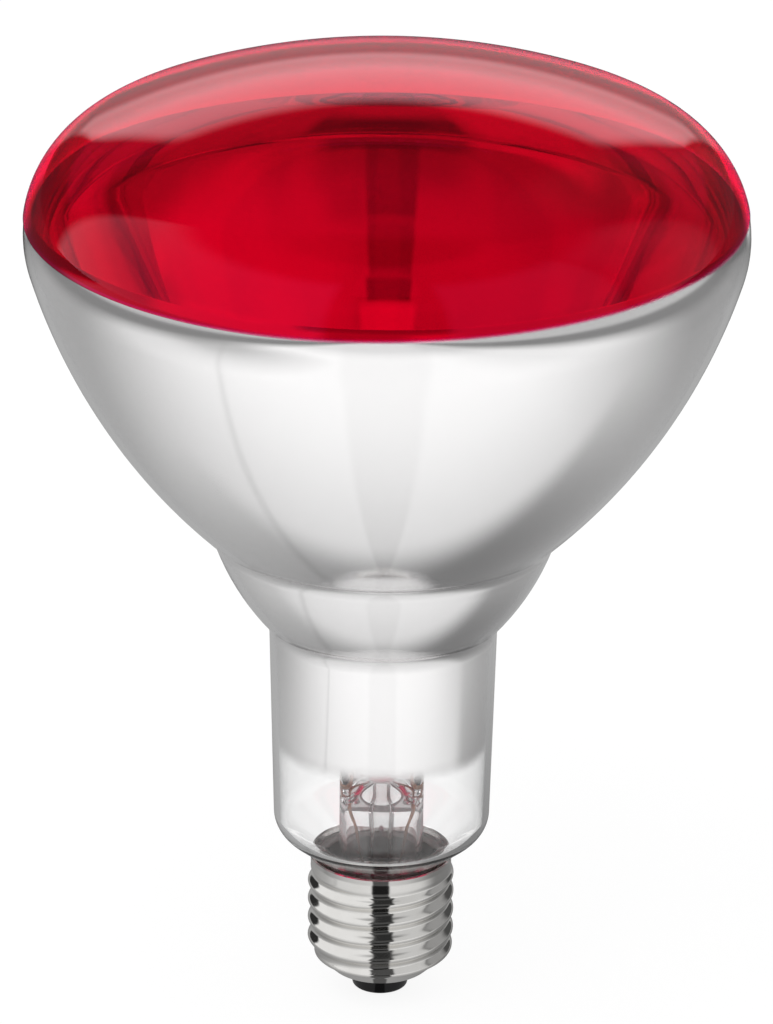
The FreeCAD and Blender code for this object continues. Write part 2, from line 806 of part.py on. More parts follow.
def write_parts(nodes):
    """Checks every object of the document, then writes one file for each sub-part."""
    doc.recompute()
    for thing in doc.Objects:
        if {"Invalid", "Error"} & set(thing.State):
            raise RuntimeError(f"{thing.Label} is {thing.State}")
    os.makedirs("parts", exist_ok=True)
    for name, node in nodes.items():
        node.Label = name
        if node.Shape.isNull() or not node.Shape.isValid():
            raise RuntimeError(f"{name} has no valid shape")
        node.Shape.exportStep(f"parts/{name}.step")


nodes = make_envelope()
nodes.update(make_mount())
nodes.update(make_cap(nodes, doc.getObject("glass_outside")))
write_parts(nodes)
for name, node in nodes.items():
    box = node.Shape.BoundBox
    print(f"{name:20s} solids {len(node.Shape.Solids)} volume {node.Shape.Volume:9.2f}"
          f" z {box.ZMin:7.2f} to {box.ZMax:7.2f} width {box.XLength:6.2f}")
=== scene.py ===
import math

import bmesh
import bpy
from mathutils import Matrix, Vector


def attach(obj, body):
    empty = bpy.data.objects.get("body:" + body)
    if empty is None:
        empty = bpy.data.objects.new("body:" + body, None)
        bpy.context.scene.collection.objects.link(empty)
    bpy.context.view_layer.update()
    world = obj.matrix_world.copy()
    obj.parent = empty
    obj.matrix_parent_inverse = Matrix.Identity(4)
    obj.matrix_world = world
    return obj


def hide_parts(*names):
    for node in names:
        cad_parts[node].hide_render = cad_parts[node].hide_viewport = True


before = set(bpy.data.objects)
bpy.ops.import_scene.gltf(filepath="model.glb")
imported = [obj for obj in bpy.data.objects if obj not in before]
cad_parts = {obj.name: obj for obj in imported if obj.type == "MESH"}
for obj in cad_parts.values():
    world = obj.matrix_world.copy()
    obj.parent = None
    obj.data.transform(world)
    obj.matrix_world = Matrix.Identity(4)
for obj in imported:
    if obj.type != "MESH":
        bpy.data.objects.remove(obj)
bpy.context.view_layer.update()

# Glass bulb
# The real piece is one blown bulb of clear glass: open foot, neck, bulge, bowl and domed face. It was blown
# in a turning mould, so it is round and fire polished, with walls a little over a millimetre thick.

MM = 0.001
TURN_STEPS = 192
ARC_STEP = math.radians(3)
SHARP_EDGE = math.radians(35)
ROUNDING_STEPS = 20
ON_AXIS = 1e-4


def left_of(direction):
    return Vector((-direction.y, direction.x)).normalized()


class Side:
    """One side of an outline: straight, or an arc that turns left (1) or right (-1) about its centre."""

    def __init__(self, start, end, centre=None, turn=0):
        self.start = start
        self.end = end
        self.centre = centre
        self.turn = turn

    def normal(self, point):
        if self.turn:
            return (self.centre - point).normalized() * self.turn
        return left_of(self.end - self.start)

    def offset(self, point):
        """How far a point lies to the left of the side."""
        if self.turn:
            return ((self.start - self.centre).length - (point - self.centre).length) * self.turn
        return (point - self.start).dot(self.normal(point))

    def points(self, inset, longest):
        """Points from the side's start to its end, all moved to the left by the inset."""
        if not self.turn:
            count = math.ceil((self.end - self.start).length / longest)
            shift = self.normal(self.start) * inset
            return [self.start.lerp(self.end, k / count) + shift for k in range(count + 1)]
        radius = (self.start - self.centre).length
        first, last = [math.atan2(*(p - self.centre).yx) for p in (self.start, self.end)]
        sweep = math.remainder(last - first, 2 * math.pi)
        count = math.ceil(max(abs(sweep) / ARC_STEP, abs(sweep) * radius / longest))
        angles = [first + sweep * k / count for k in range(count + 1)]
        reach = radius - self.turn * inset
        return [self.centre + Vector((math.cos(a), math.sin(a))) * reach for a in angles]


def bulging(start, end, radius):
    """An arc between two points that bulges to the right."""
    chord = end - start
    rise = math.sqrt(radius ** 2 - chord.length_squared / 4)
    return Side(start, end, (start + end) / 2 + left_of(chord) * rise, 1)


def rounding(before, after, radius):
    """The arc that rounds the corner between two sides, which are shortened to meet it."""
    corner = after.start
    first = before.normal(corner)
    second = after.normal(corner)
    turn = 1 if left_of(first).dot(second) > 0 else -1
    centre = corner + (first + second) * (turn * radius / (1 + first.dot(second)))
    for _ in range(ROUNDING_STEPS):
        first = before.normal(centre)
        second = after.normal(centre)
        miss = [turn * radius - side.offset(centre) for side in (before, after)]
        spread = first.x * second.y - first.y * second.x
        centre = centre + Vector((
            (miss[0] * second.y - miss[1] * first.y) / spread,
            (miss[1] * first.x - miss[0] * second.x) / spread,
        ))
    before.end = centre - before.normal(centre) * before.offset(centre)
    after.start = centre - after.normal(centre) * after.offset(centre)
    return Side(before.end, after.start, centre, turn)


def outline(corners, inset=0.0, longest=2.0):
    """A line through corners (radius, height, rounding, bulge of the next side), the solid on its left."""
    corners = [(*corner, 0, 0)[:4] for corner in corners]
    places = [Vector(corner[:2]) for corner in corners]
    sides = [bulging(start, end, corner[3]) if corner[3] else Side(start, end)
             for start, end, corner in zip(places, places[1:], corners)]
    line = sides[:1]
    for before, after, corner in zip(sides, sides[1:], corners[1:]):
        if corner[2]:
            line.append(rounding(before, after, corner[2]))
        line.append(after)
    points = []
    for side in line:
        points += side.points(inset, longest)[1 if points else 0:]
    return points


def between(line, low, high):
    """The stretch of a rising line between two heights."""
    ends = [start.lerp(end, (height - start.y) / (end.y - start.y))
            for height in (low, high) for start, end in zip(line, line[1:]) if start.y < height <= end.y]
    return sorted(ends + [p for p in line if low < p.y < high], key=lambda p: p.y)


def piece_from(mesh, name):
    """A piece made from a bmesh, smooth but for its sharp edges."""
    data = bpy.data.meshes.new(name)
    mesh.to_mesh(data)
    mesh.free()
    data.shade_smooth()
    data.set_sharp_from_angle(angle=SHARP_EDGE)
    piece = bpy.data.objects.new(name, data)
    bpy.context.scene.collection.objects.link(piece)
    return piece


def skin(mesh, rings, closed=False):
    """Joins rings of vertices, each to the next, with faces that look away from the lamp's axis going up."""
    for low, high in zip(rings, rings[1:] + rings[:1] if closed else rings[1:]):
        for k in range(len(low)):
            mesh.faces.new(dict.fromkeys((low[k - 1], low[k], high[k], high[k - 1])))


def lathe(name, line, closed=False, turns=TURN_STEPS):
    """Turns a line of (radius, height) in millimetres about the lamp's axis, with the solid on its left."""
    mesh = bmesh.new()
    angles = [2 * math.pi * k / turns for k in range(turns)]
    directions = [(math.cos(a), math.sin(a)) for a in angles]
    rings = []
    for across, up in line:
        if across < ON_AXIS:
            rings.append([mesh.verts.new((0, 0, up * MM))] * turns)
        else:
            rings.append([mesh.verts.new((across * x * MM, across * y * MM, up * MM)) for x, y in directions])
    skin(mesh, rings, closed)
    return piece_from(mesh, name)


def colour(code):
    """An sRGB hex colour as linear red, green, blue and alpha."""
    shares = [int(code[k:k + 2], 16) / 255 for k in (0, 2, 4)]
    return [s / 12.92 if s < 0.04045 else ((s + 0.055) / 1.055) ** 2.4 for s in shares] + [1.0]


def add(tree, kind, inputs=None, out=0, **settings):
    """Adds a node, sets or links its inputs, and gives one of its outputs."""
    node = tree.nodes.new(kind)
    for name, setting in settings.items():
        setattr(node, name, setting)
    for name, given in (inputs or {}).items():
        if isinstance(given, bpy.types.NodeSocket):
            tree.links.new(given, node.inputs[name])
        else:
            node.inputs[name].default_value = given
    return node.outputs[out] if node.outputs else None


def new_material(name):
    material = bpy.data.materials.new(name)
    material.use_nodes = True
    material.node_tree.nodes.clear()
    return material, material.node_tree


def dress(piece, material, slot, *nodes):
    """Gives a piece its material, its body and the nodes that it stands for. The slot is not used."""
    piece.data.materials.clear()
    piece.data.materials.append(material)
    if nodes:
        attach(piece, "root")
        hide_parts(*nodes)


GLASS_WALL = 1.1
SPIGOT_FOOT = 16.0
SPIGOT_RADIUS = 10.7
NECK_CONE_FOOT = 26.066
NECK_LOW = (19.2, 32.95)
NECK_TOP = (20.15, 71.95)
THROAT = (30.4, 89.6)
EQUATOR = 145.0
EQUATOR_RADIUS = 62.5
SHOULDER_RADIUS = 19.5
SHOULDER_SWEEP = math.radians(16.5)
DOME_RADIUS = 130.0
WAVE = 30
WAVE_DEPTH = 0.02

# The bowl and the dome both run into the shoulder without a corner
shoulder_out = EQUATOR_RADIUS - SHOULDER_RADIUS
shoulder_low = Vector((
    shoulder_out + SHOULDER_RADIUS * math.cos(SHOULDER_SWEEP),
    EQUATOR - SHOULDER_RADIUS * math.sin(SHOULDER_SWEEP),
))
dome_share = DOME_RADIUS / (DOME_RADIUS - SHOULDER_RADIUS)
dome_drop = math.sqrt((DOME_RADIUS - SHOULDER_RADIUS) ** 2 - shoulder_out ** 2)
apex = EQUATOR - dome_drop + DOME_RADIUS
shoulder_top = (shoulder_out * dome_share, apex - DOME_RADIUS + dome_drop * dome_share)
bowl = shoulder_low - Vector(THROAT)
bowl_lean = bowl.x * math.cos(SHOULDER_SWEEP) - bowl.y * math.sin(SHOULDER_SWEEP)
BULB = [
    (SPIGOT_RADIUS, SPIGOT_FOOT),
    (SPIGOT_RADIUS, NECK_CONE_FOOT, 1.5),
    (*NECK_LOW, 5.0),
    (*NECK_TOP, 5.5, 45.7),
    (*THROAT, 7.5, bowl.length_squared / 2 / bowl_lean),
    (*shoulder_low, 0, SHOULDER_RADIUS),
    (*shoulder_top, 0, DOME_RADIUS),
    (0, apex),
]

bulb = lathe("glass_bulb", outline(BULB, GLASS_WALL)[::-1] + outline(BULB))

# Blown glass is colourless and mirror smooth, with a very faint long waviness that bends reflections a little
clear_glass, tree = new_material("blown soda-lime glass, fire polished")
place = add(tree, "ShaderNodeTexCoord", out="Object")
wave = add(tree, "ShaderNodeTexNoise", {"Vector": place, "Scale": 1 / (WAVE * MM), "Detail": 1.0})
glass = add(tree, "ShaderNodeBsdfPrincipled", {
    "Base Color": colour("fdfdfd"),
    "Roughness": 0.0,
    "IOR": 1.51,
    "Transmission Weight": 1.0,
    "Normal": add(tree, "ShaderNodeBump", {"Height": wave, "Distance": WAVE_DEPTH * MM}),
})
add(tree, "ShaderNodeOutputMaterial", {"Surface": glass})
dress(bulb, clear_glass, "clear_glass", "glass_envelope")

# Mirror film
# The real piece is an aluminium film on the inside of the bowl, the bulge and most of the neck. It was
# evaporated in vacuum, so it is bright and even, and thins out softly where the clear window begins.

FILM_GAP = 0.03
FILM_THICKNESS = 0.2
FILM_FOOT = 48.15
FILM_TOP = 150.0
FILM_EDGE = FILM_FOOT + 0.6
FILM_FADE = 4.0
FILM_CLOUD = 14
EDGE_WAVER = 8
WAVER_HEIGHT = 1.2

film_line = between(outline(BULB, GLASS_WALL + FILM_GAP), FILM_FOOT, FILM_TOP)
film_inside = between(outline(BULB, GLASS_WALL + FILM_THICKNESS), FILM_FOOT, FILM_TOP)
film = lathe("mirror_film", film_inside[::-1] + film_line, closed=True)

# The film is colourless. Where it lies on the glass it is a little hazy, in soft clouds, and its free face
# inside the bulb is a clear mirror. Its lower edge wavers and fades out


def film_metal(name, sharpest, dullest):
    """One face of the film, between two roughnesses."""
    material, tree = new_material(name)
    place = add(tree, "ShaderNodeTexCoord", out="Object")
    height = add(tree, "ShaderNodeSeparateXYZ", {0: place}, "Z")
    clouds = add(tree, "ShaderNodeTexNoise", {"Vector": place, "Scale": 1 / (FILM_CLOUD * MM), "Detail": 3.0})
    waver = add(tree, "ShaderNodeTexNoise", {"Vector": place, "Scale": 1 / (EDGE_WAVER * MM)})
    edge = add(tree, "ShaderNodeMath", {0: waver, 1: WAVER_HEIGHT * MM, 2: height}, operation="MULTIPLY_ADD")
    metal = add(tree, "ShaderNodeBsdfPrincipled", {
        "Base Color": colour("f8f7f7"),
        "Metallic": 1.0,
        "Roughness": add(tree, "ShaderNodeMapRange", {0: clouds, 1: 0.3, 2: 0.7, 3: sharpest, 4: dullest}),
        "Alpha": add(tree, "ShaderNodeMapRange",
                     {0: edge, 1: FILM_EDGE * MM, 2: FILM_EDGE * MM + FILM_FADE * MM},
                     interpolation_type="SMOOTHSTEP"),
    })
    add(tree, "ShaderNodeOutputMaterial", {"Surface": metal})
    return material


dress(film, film_metal("evaporated aluminium film, on glass", 0.06, 0.10), "mirror_film", "mirror_coating")
film.data.materials.append(film_metal("evaporated aluminium film, free face", 0.015, 0.035))
for face in film.data.polygons:
    if face.normal.xy.dot(face.center.xy) < 0:
        face.material_index = 1

# Red face
# The real piece is a transparent red lacquer, sprayed on the outside of the face down to just above the
# widest place and baked. It is glossy, and its lower edge is soft where the spray thinned out.

LACQUER_GAP = 0.03
LACQUER_THICKNESS = 0.2
LACQUER_EDGE = 148.0
LACQUER_FADE = 0.9
EDGE_TILT = math.tan(math.radians(0.9))
ABOVE_LAMP = 200
COAT_CLOUD = 25
PEEL = 6
PEEL_DEPTH = 0.002

lacquer_inside = between(outline(BULB, -LACQUER_GAP), LACQUER_EDGE, ABOVE_LAMP)
lacquer_outside = between(outline(BULB, -LACQUER_THICKNESS), LACQUER_EDGE, ABOVE_LAMP)
lacquer = lathe("red_face", lacquer_inside[::-1] + lacquer_outside)

# Baked lacquer is deep red where light passes it twice, a little uneven in thickness, and very smooth
red_lacquer, tree = new_material("transparent red lacquer, sprayed and baked")
place = add(tree, "ShaderNodeTexCoord", out="Object")
axes = add(tree, "ShaderNodeSeparateXYZ", {0: place}).node.outputs
tilted = add(tree, "ShaderNodeMath", {0: axes["X"], 1: -EDGE_TILT, 2: axes["Z"]}, operation="MULTIPLY_ADD")
coats = add(tree, "ShaderNodeTexNoise", {"Vector": place, "Scale": 1 / (COAT_CLOUD * MM)})
peel = add(tree, "ShaderNodeTexNoise", {"Vector": place, "Scale": 1 / (PEEL * MM)})
lacquered = add(tree, "ShaderNodeBsdfPrincipled", {
    "Base Color": add(tree, "ShaderNodeMix", {0: coats, 6: colour("f71866"), 7: colour("f41460")}, 2,
                      data_type="RGBA"),
    "Roughness": 0.0,
    "IOR": 1.5,
    "Specular Tint": colour("ff4a98"),
    "Transmission Weight": 1.0,
    "Alpha": add(tree, "ShaderNodeMapRange",
                 {0: tilted, 1: LACQUER_EDGE * MM, 2: LACQUER_EDGE * MM + LACQUER_FADE * MM},
                 interpolation_type="SMOOTHSTEP"),
    "Normal": add(tree, "ShaderNodeBump", {"Height": peel, "Distance": PEEL_DEPTH * MM}),
})
add(tree, "ShaderNodeOutputMaterial", {"Surface": lacquered})
dress(lacquer, red_lacquer, "red_lacquer", "red_face_coating")

# Glass stem
# The real piece is a glass tube, flared at its foot to seal the bulb and pressed flat at its top around the
# leads while hot. It is less even than the bulb, and its edges are rounded by the flame.

STEM_RADIUS = 7.5
STEM_WALL = 1.1
STEM_TOP = 39.5
PRESS_SHOULDER = 4.5
PRESS_TOP = 50.0
PRESS_HALF = 2.3
FLARE_RIM = 1.4
FLARE_HEIGHT = 4.5
FLARE_ROUND = 2.5
BORE_END = 41.0
EXHAUST_RADIUS = 2.1
STEM_STEPS = 96
STEM_LONGEST = 0.5
PRESS_SQUARE = 3
STREAK = 5
STREAK_STRETCH = 0.4
STREAK_DEPTH = 0.08
flare_bore = SPIGOT_RADIUS - GLASS_WALL
flare_top = SPIGOT_FOOT + FLARE_HEIGHT
stem_bore = STEM_RADIUS - STEM_WALL


def pressed(radius, height):
    """A level section of the stem: round below, and flattened front to back in the press."""
    share = min(max((height - STEM_TOP) / PRESS_SHOULDER, 0.0), 1.0)
    share *= share * (3 - 2 * share)
    half = radius + (PRESS_HALF - STEM_RADIUS) * share
    power = 2 / (2 + PRESS_SQUARE * share)
    for k in range(STEM_STEPS):
        out, deep = math.cos(2 * math.pi * k / STEM_STEPS), math.sin(2 * math.pi * k / STEM_STEPS)
        yield (
            math.copysign(abs(out) ** power, out) * radius * MM,
            math.copysign(abs(deep) ** power, deep) * half * MM,
            height * MM,
        )


stem_outside = outline([
    (flare_bore, SPIGOT_FOOT),
    (flare_bore, SPIGOT_FOOT + FLARE_RIM, 0.4),
    (STEM_RADIUS, flare_top, FLARE_ROUND),
    (STEM_RADIUS, PRESS_TOP, 0.8),
    (STEM_RADIUS - PRESS_HALF + 0.05, PRESS_TOP),
], longest=STEM_LONGEST)
stem_inside = outline([
    (flare_bore - STEM_WALL, SPIGOT_FOOT),
    (stem_bore, flare_top - STEM_WALL, FLARE_ROUND),
    (stem_bore, STEM_TOP - 1.5, 7.0),
    (EXHAUST_RADIUS, BORE_END, 1.5),
    (0, BORE_END),
], longest=STEM_LONGEST)
mesh = bmesh.new()
rings = []
for across, up in stem_inside[::-1] + stem_outside:
    if across < ON_AXIS:
        rings.append([mesh.verts.new((0, 0, up * MM))] * STEM_STEPS)
    elif up < BORE_END + 0.01 and across < stem_bore + 0.01:
        angles = [2 * math.pi * k / STEM_STEPS for k in range(STEM_STEPS)]
        rings.append([mesh.verts.new((across * math.cos(a) * MM, across * math.sin(a) * MM, up * MM))
                      for a in angles])
    else:
        rings.append([mesh.verts.new(corner) for corner in pressed(across, up)])
skin(mesh, rings)
mesh.faces.new(rings[-1])
stem = piece_from(mesh, "glass_stem")

# Stem glass is colourless, and drawn lengthwise, so what is seen through it is streaked
stem_glass, tree = new_material("flame-worked lead glass")
place = add(tree, "ShaderNodeTexCoord", out="Object")
drawn = add(tree, "ShaderNodeMapping", {"Vector": place, "Scale": (1, 1, STREAK_STRETCH)})
streaks = add(tree, "ShaderNodeTexNoise", {"Vector": drawn, "Scale": 1 / (STREAK * MM)})
glass = add(tree, "ShaderNodeBsdfPrincipled", {
    "Base Color": colour("fafafa"),
    "Roughness": 0.0,
    "IOR": 1.56,
    "Transmission Weight": 1.0,
    "Normal": add(tree, "ShaderNodeBump", {"Height": streaks, "Distance": STREAK_DEPTH * MM}),
})
add(tree, "ShaderNodeOutputMaterial", {"Surface": glass})
dress(stem, stem_glass, "stem_glass", "stem")

# Exhaust tube
# The real piece is a thin glass tube inside the stem, through which the bulb was pumped empty and filled
# with gas. It is joined to the end of the stem's bore, and its foot was melted shut in a flame.

EXHAUST_BORE = 1.4
EXHAUST_FOOT = 14.5
tube_top = BORE_END - 0.05

exhaust = lathe("exhaust_tube_glass", outline([
    (0, EXHAUST_FOOT),
    (EXHAUST_BORE, EXHAUST_FOOT, 0.5),
    (EXHAUST_RADIUS, EXHAUST_FOOT + 1.5, 1.0),
    (EXHAUST_RADIUS, tube_top),
    (EXHAUST_BORE, tube_top),
    (EXHAUST_BORE, EXHAUST_FOOT + 3.0, 0.8),
    (0, EXHAUST_FOOT + 1.5),
]), turns=48)
dress(exhaust, stem_glass, "stem_glass", "exhaust_tube")

# Support rod
# The real piece is a glass cane melted into the top of the press. Its top was heated and pushed into a
# button, and the hot button took the ends of the support wires.

ROD_RADIUS = 1.6
ROD_FOOT = 47.0
BUTTON_RADIUS = 3.4
BUTTON_LENGTH = 5.0
BUTTON_TOP = 90.2
button_foot = BUTTON_TOP - BUTTON_LENGTH

rod = lathe("support_rod_glass", outline([
    (0, ROD_FOOT),
    (ROD_RADIUS, ROD_FOOT),
    (ROD_RADIUS, button_foot, 0.8),
    (BUTTON_RADIUS, button_foot, 1.2),
    (BUTTON_RADIUS, BUTTON_TOP, 1.6),
    (0, BUTTON_TOP),
], longest=1.0), turns=64)
dress(rod, stem_glass, "stem_glass", "support_rod")

# Support wires
# The real pieces are molybdenum wires. Each has one end set in the glass of the button while it was hot, and
# the other bent to a loop that the filament runs through.

SUPPORT_RADIUS = 0.25
SUPPORT_COUNT = 5
SUPPORT_FOOT = 1.8
SUPPORT_KNEE = 9.0
FILAMENT_RING = 14.0
FILAMENT_HEIGHT = 97.2
FILAMENT_SWEEP = math.radians(250)
COIL_RADIUS = 0.9
EYE_GAP = 0.1
WIRE_GRAIN = 0.4
eye_radius = COIL_RADIUS + EYE_GAP + SUPPORT_RADIUS
wire_height = BUTTON_TOP - BUTTON_LENGTH / 2


def new_tree(name, sizes):
    """A geometry tree with a geometry and named numbers as inputs."""
    tree = bpy.data.node_groups.new(name, "GeometryNodeTree")
    tree.interface.new_socket("Geometry", in_out="INPUT", socket_type="NodeSocketGeometry")
    tree.interface.new_socket("Geometry", in_out="OUTPUT", socket_type="NodeSocketGeometry")
    for label in sizes:
        tree.interface.new_socket(label, in_out="INPUT", socket_type="NodeSocketFloat")
    return tree


def grow(piece, tree, sizes, material, geometry):
    """Ends the tree, gives it to the piece with its sizes, and keeps the result as the piece's own mesh."""
    real = add(tree, "GeometryNodeRealizeInstances", {0: geometry})
    made = add(tree, "GeometryNodeSetMaterial", {"Geometry": real, "Material": material})
    add(tree, "NodeGroupOutput", {0: made})
    modifier = piece.modifiers.new(tree.name, "NODES")
    modifier.node_group = tree
    for socket in tree.interface.items_tree:
        if socket.in_out == "INPUT" and socket.name in sizes:
            modifier[socket.identifier] = float(sizes[socket.name])
    bpy.context.view_layer.update()
    evaluated = piece.evaluated_get(bpy.context.evaluated_depsgraph_get())
    piece.data = bpy.data.meshes.new_from_object(evaluated)
    piece.modifiers.clear()
    piece.data.shade_smooth()
    piece.data.set_sharp_from_angle(angle=SHARP_EDGE)


# Drawn molybdenum wire is dull grey. Its grain is drawn coarser than real, so that it shows
molybdenum, tree = new_material("drawn molybdenum wire")
place = add(tree, "ShaderNodeTexCoord", out="Object")
grain = add(tree, "ShaderNodeTexNoise", {"Vector": place, "Scale": 1 / (WIRE_GRAIN * MM), "Detail": 2.0})
metal = add(tree, "ShaderNodeBsdfPrincipled", {
    "Base Color": add(tree, "ShaderNodeMix", {0: grain, 6: colour("a3a19e"), 7: colour("8b8987")}, 2,
                      data_type="RGBA"),
    "Metallic": 1.0,
    "Roughness": add(tree, "ShaderNodeMapRange", {0: grain, 3: 0.28, 4: 0.42}),
})
add(tree, "ShaderNodeOutputMaterial", {"Surface": metal})

WIRE_SIZES = {"Count": SUPPORT_COUNT, "Sweep": FILAMENT_SWEEP, "Wire": SUPPORT_RADIUS * MM,
              "Eye": eye_radius * MM, "Ring": FILAMENT_RING * MM, "Height": FILAMENT_HEIGHT * MM}
tree = new_tree("wires round the button", WIRE_SIZES)
size_of = add(tree, "NodeGroupInput").node.outputs
profile = add(tree, "GeometryNodeCurvePrimitiveCircle", {"Resolution": 8, "Radius": size_of["Wire"]})
leg = add(tree, "GeometryNodeMeshToCurve", {0: size_of["Geometry"]})
circle = add(tree, "GeometryNodeCurvePrimitiveCircle", {"Resolution": 24, "Radius": size_of["Eye"]})
eye_place = add(tree, "ShaderNodeCombineXYZ", {"X": size_of["Ring"], "Z": size_of["Height"]})
eye = add(tree, "GeometryNodeTransform", {"Geometry": circle, "Translation": eye_place,
                                          "Rotation": (math.pi / 2, 0, 0)})
parts = [add(tree, "GeometryNodeCurveToMesh", {"Curve": line, "Profile Curve": profile, "Fill Caps": True})
         for line in (leg, eye)]
both = add(tree, "GeometryNodeJoinGeometry", {0: parts[0]})
tree.links.new(parts[1], both.node.inputs[0])
feet = add(tree, "GeometryNodePoints", {"Count": size_of["Count"]})
step = add(tree, "ShaderNodeMath", {0: size_of["Sweep"], 1: size_of["Count"]}, operation="DIVIDE")
number = add(tree, "ShaderNodeMath", {0: add(tree, "GeometryNodeInputIndex"), 1: 0.5 - SUPPORT_COUNT / 2})
turn = add(tree, "ShaderNodeMath", {0: number, 1: step, 2: math.pi / 2}, operation="MULTIPLY_ADD")
wires = add(tree, "GeometryNodeInstanceOnPoints", {
    "Points": feet, "Instance": both, "Rotation": add(tree, "ShaderNodeCombineXYZ", {"Z": turn})})

mesh = bmesh.new()
route = outline([
    (SUPPORT_FOOT, wire_height),
    (SUPPORT_KNEE, wire_height, 1.5),
    (FILAMENT_RING, FILAMENT_HEIGHT - eye_radius),
], longest=1.0)
corners = [mesh.verts.new((across * MM, 0, up * MM)) for across, up in route]
for pair in zip(corners, corners[1:]):
    mesh.edges.new(pair)
supports = piece_from(mesh, "support_wires")
grow(supports, tree, WIRE_SIZES, molybdenum, wires)
dress(supports, molybdenum, "molybdenum_wire", *[f"support_wire_{k + 1}" for k in range(SUPPORT_COUNT)])

# Filament
# The real piece is a fine tungsten wire wound to a close coil. The coil is bent to most of a ring, and its
# ends are clamped in the hooked ends of the inner leads.

COIL_WIRE = 0.13
COIL_PITCH = 0.55
COIL_STEPS = 14
TUNGSTEN_GRAIN = 0.5
coil_turns = round(FILAMENT_RING * FILAMENT_SWEEP / COIL_PITCH)

# Wound tungsten is dark grey and dull. Its grain is drawn coarser than real, and so are the coil's turns
tungsten, tree = new_material("wound tungsten wire")
place = add(tree, "ShaderNodeTexCoord", out="Object")
grain = add(tree, "ShaderNodeTexNoise", {"Vector": place, "Scale": 1 / (TUNGSTEN_GRAIN * MM)})
metal = add(tree, "ShaderNodeBsdfPrincipled", {
    "Base Color": add(tree, "ShaderNodeMix", {0: grain, 6: colour("8e8d8f"), 7: colour("6f6e71")}, 2,
                      data_type="RGBA"),
    "Metallic": 1.0,
    "Roughness": 0.35,
})
add(tree, "ShaderNodeOutputMaterial", {"Surface": metal})

COIL_SIZES = {"Turns": coil_turns, "Sweep": FILAMENT_SWEEP, "Ring": FILAMENT_RING * MM,
              "Coil": (COIL_RADIUS - COIL_WIRE) * MM, "Wire": COIL_WIRE * MM, "Height": FILAMENT_HEIGHT * MM}
tree = new_tree("coil along a ring", COIL_SIZES)
size_of = add(tree, "NodeGroupInput").node.outputs
count = add(tree, "ShaderNodeMath", {0: size_of["Turns"], 1: COIL_STEPS}, operation="MULTIPLY")
line = add(tree, "GeometryNodeMeshLine", {"Count": count})
share = add(tree, "ShaderNodeMath", {0: add(tree, "GeometryNodeInputIndex"), 1: count}, operation="DIVIDE")
half_turn = add(tree, "ShaderNodeMath", {0: share, 1: 0.5}, operation="SUBTRACT")
around = add(tree, "ShaderNodeMath", {0: half_turn, 1: size_of["Sweep"], 2: math.pi / 2},
             operation="MULTIPLY_ADD")
turned = add(tree, "ShaderNodeMath", {0: share, 1: size_of["Turns"]}, operation="MULTIPLY")
phase = add(tree, "ShaderNodeMath", {0: turned, 1: 2 * math.pi}, operation="MULTIPLY")
outwards = add(tree, "ShaderNodeMath", {0: phase}, operation="COSINE")
upwards = add(tree, "ShaderNodeMath", {0: phase}, operation="SINE")
reach = add(tree, "ShaderNodeMath", {0: outwards, 1: size_of["Coil"], 2: size_of["Ring"]},
            operation="MULTIPLY_ADD")
across = add(tree, "ShaderNodeMath", {0: around}, operation="COSINE")
along = add(tree, "ShaderNodeMath", {0: around}, operation="SINE")
coil_place = add(tree, "ShaderNodeCombineXYZ", {
    "X": add(tree, "ShaderNodeMath", {0: reach, 1: across}, operation="MULTIPLY"),
    "Y": add(tree, "ShaderNodeMath", {0: reach, 1: along}, operation="MULTIPLY"),
    "Z": add(tree, "ShaderNodeMath", {0: upwards, 1: size_of["Coil"], 2: size_of["Height"]},
             operation="MULTIPLY_ADD"),
})
bent = add(tree, "GeometryNodeSetPosition", {"Geometry": line, "Position": coil_place})
profile = add(tree, "GeometryNodeCurvePrimitiveCircle", {"Resolution": 6, "Radius": size_of["Wire"]})
wound = add(tree, "GeometryNodeCurveToMesh", {
    "Curve": add(tree, "GeometryNodeMeshToCurve", {0: bent}), "Profile Curve": profile, "Fill Caps": True})
coil = piece_from(bmesh.new(), "filament_coil")
grow(coil, tree, COIL_SIZES, tungsten, wound)
dress(coil, tungsten, "tungsten_coil", "filament")

# Leads
# The real pieces are nickel wires inside the bulb, bent to hooks that hold the filament, and copper wires
# below the press, which go down to the centre contact and up to the rim of the shell.

NICKEL_GRAIN = 0.6
COPPER_TINT = 3

# Drawn nickel wire is a warm light grey. Its grain is drawn coarser than real, so that it shows
nickel_wire, tree = new_material("drawn nickel wire")
place = add(tree, "ShaderNodeTexCoord", out="Object")
grain = add(tree, "ShaderNodeTexNoise", {"Vector": place, "Scale": 1 / (NICKEL_GRAIN * MM), "Detail": 2.0})
metal = add(tree, "ShaderNodeBsdfPrincipled", {
    "Base Color": add(tree, "ShaderNodeMix", {0: grain, 6: colour("c4bfb6"), 7: colour("aaa59c")}, 2,
                      data_type="RGBA"),
    "Metallic": 1.0,
    "Roughness": add(tree, "ShaderNodeMapRange", {0: grain, 3: 0.25, 4: 0.4}),
})
add(tree, "ShaderNodeOutputMaterial", {"Surface": metal})

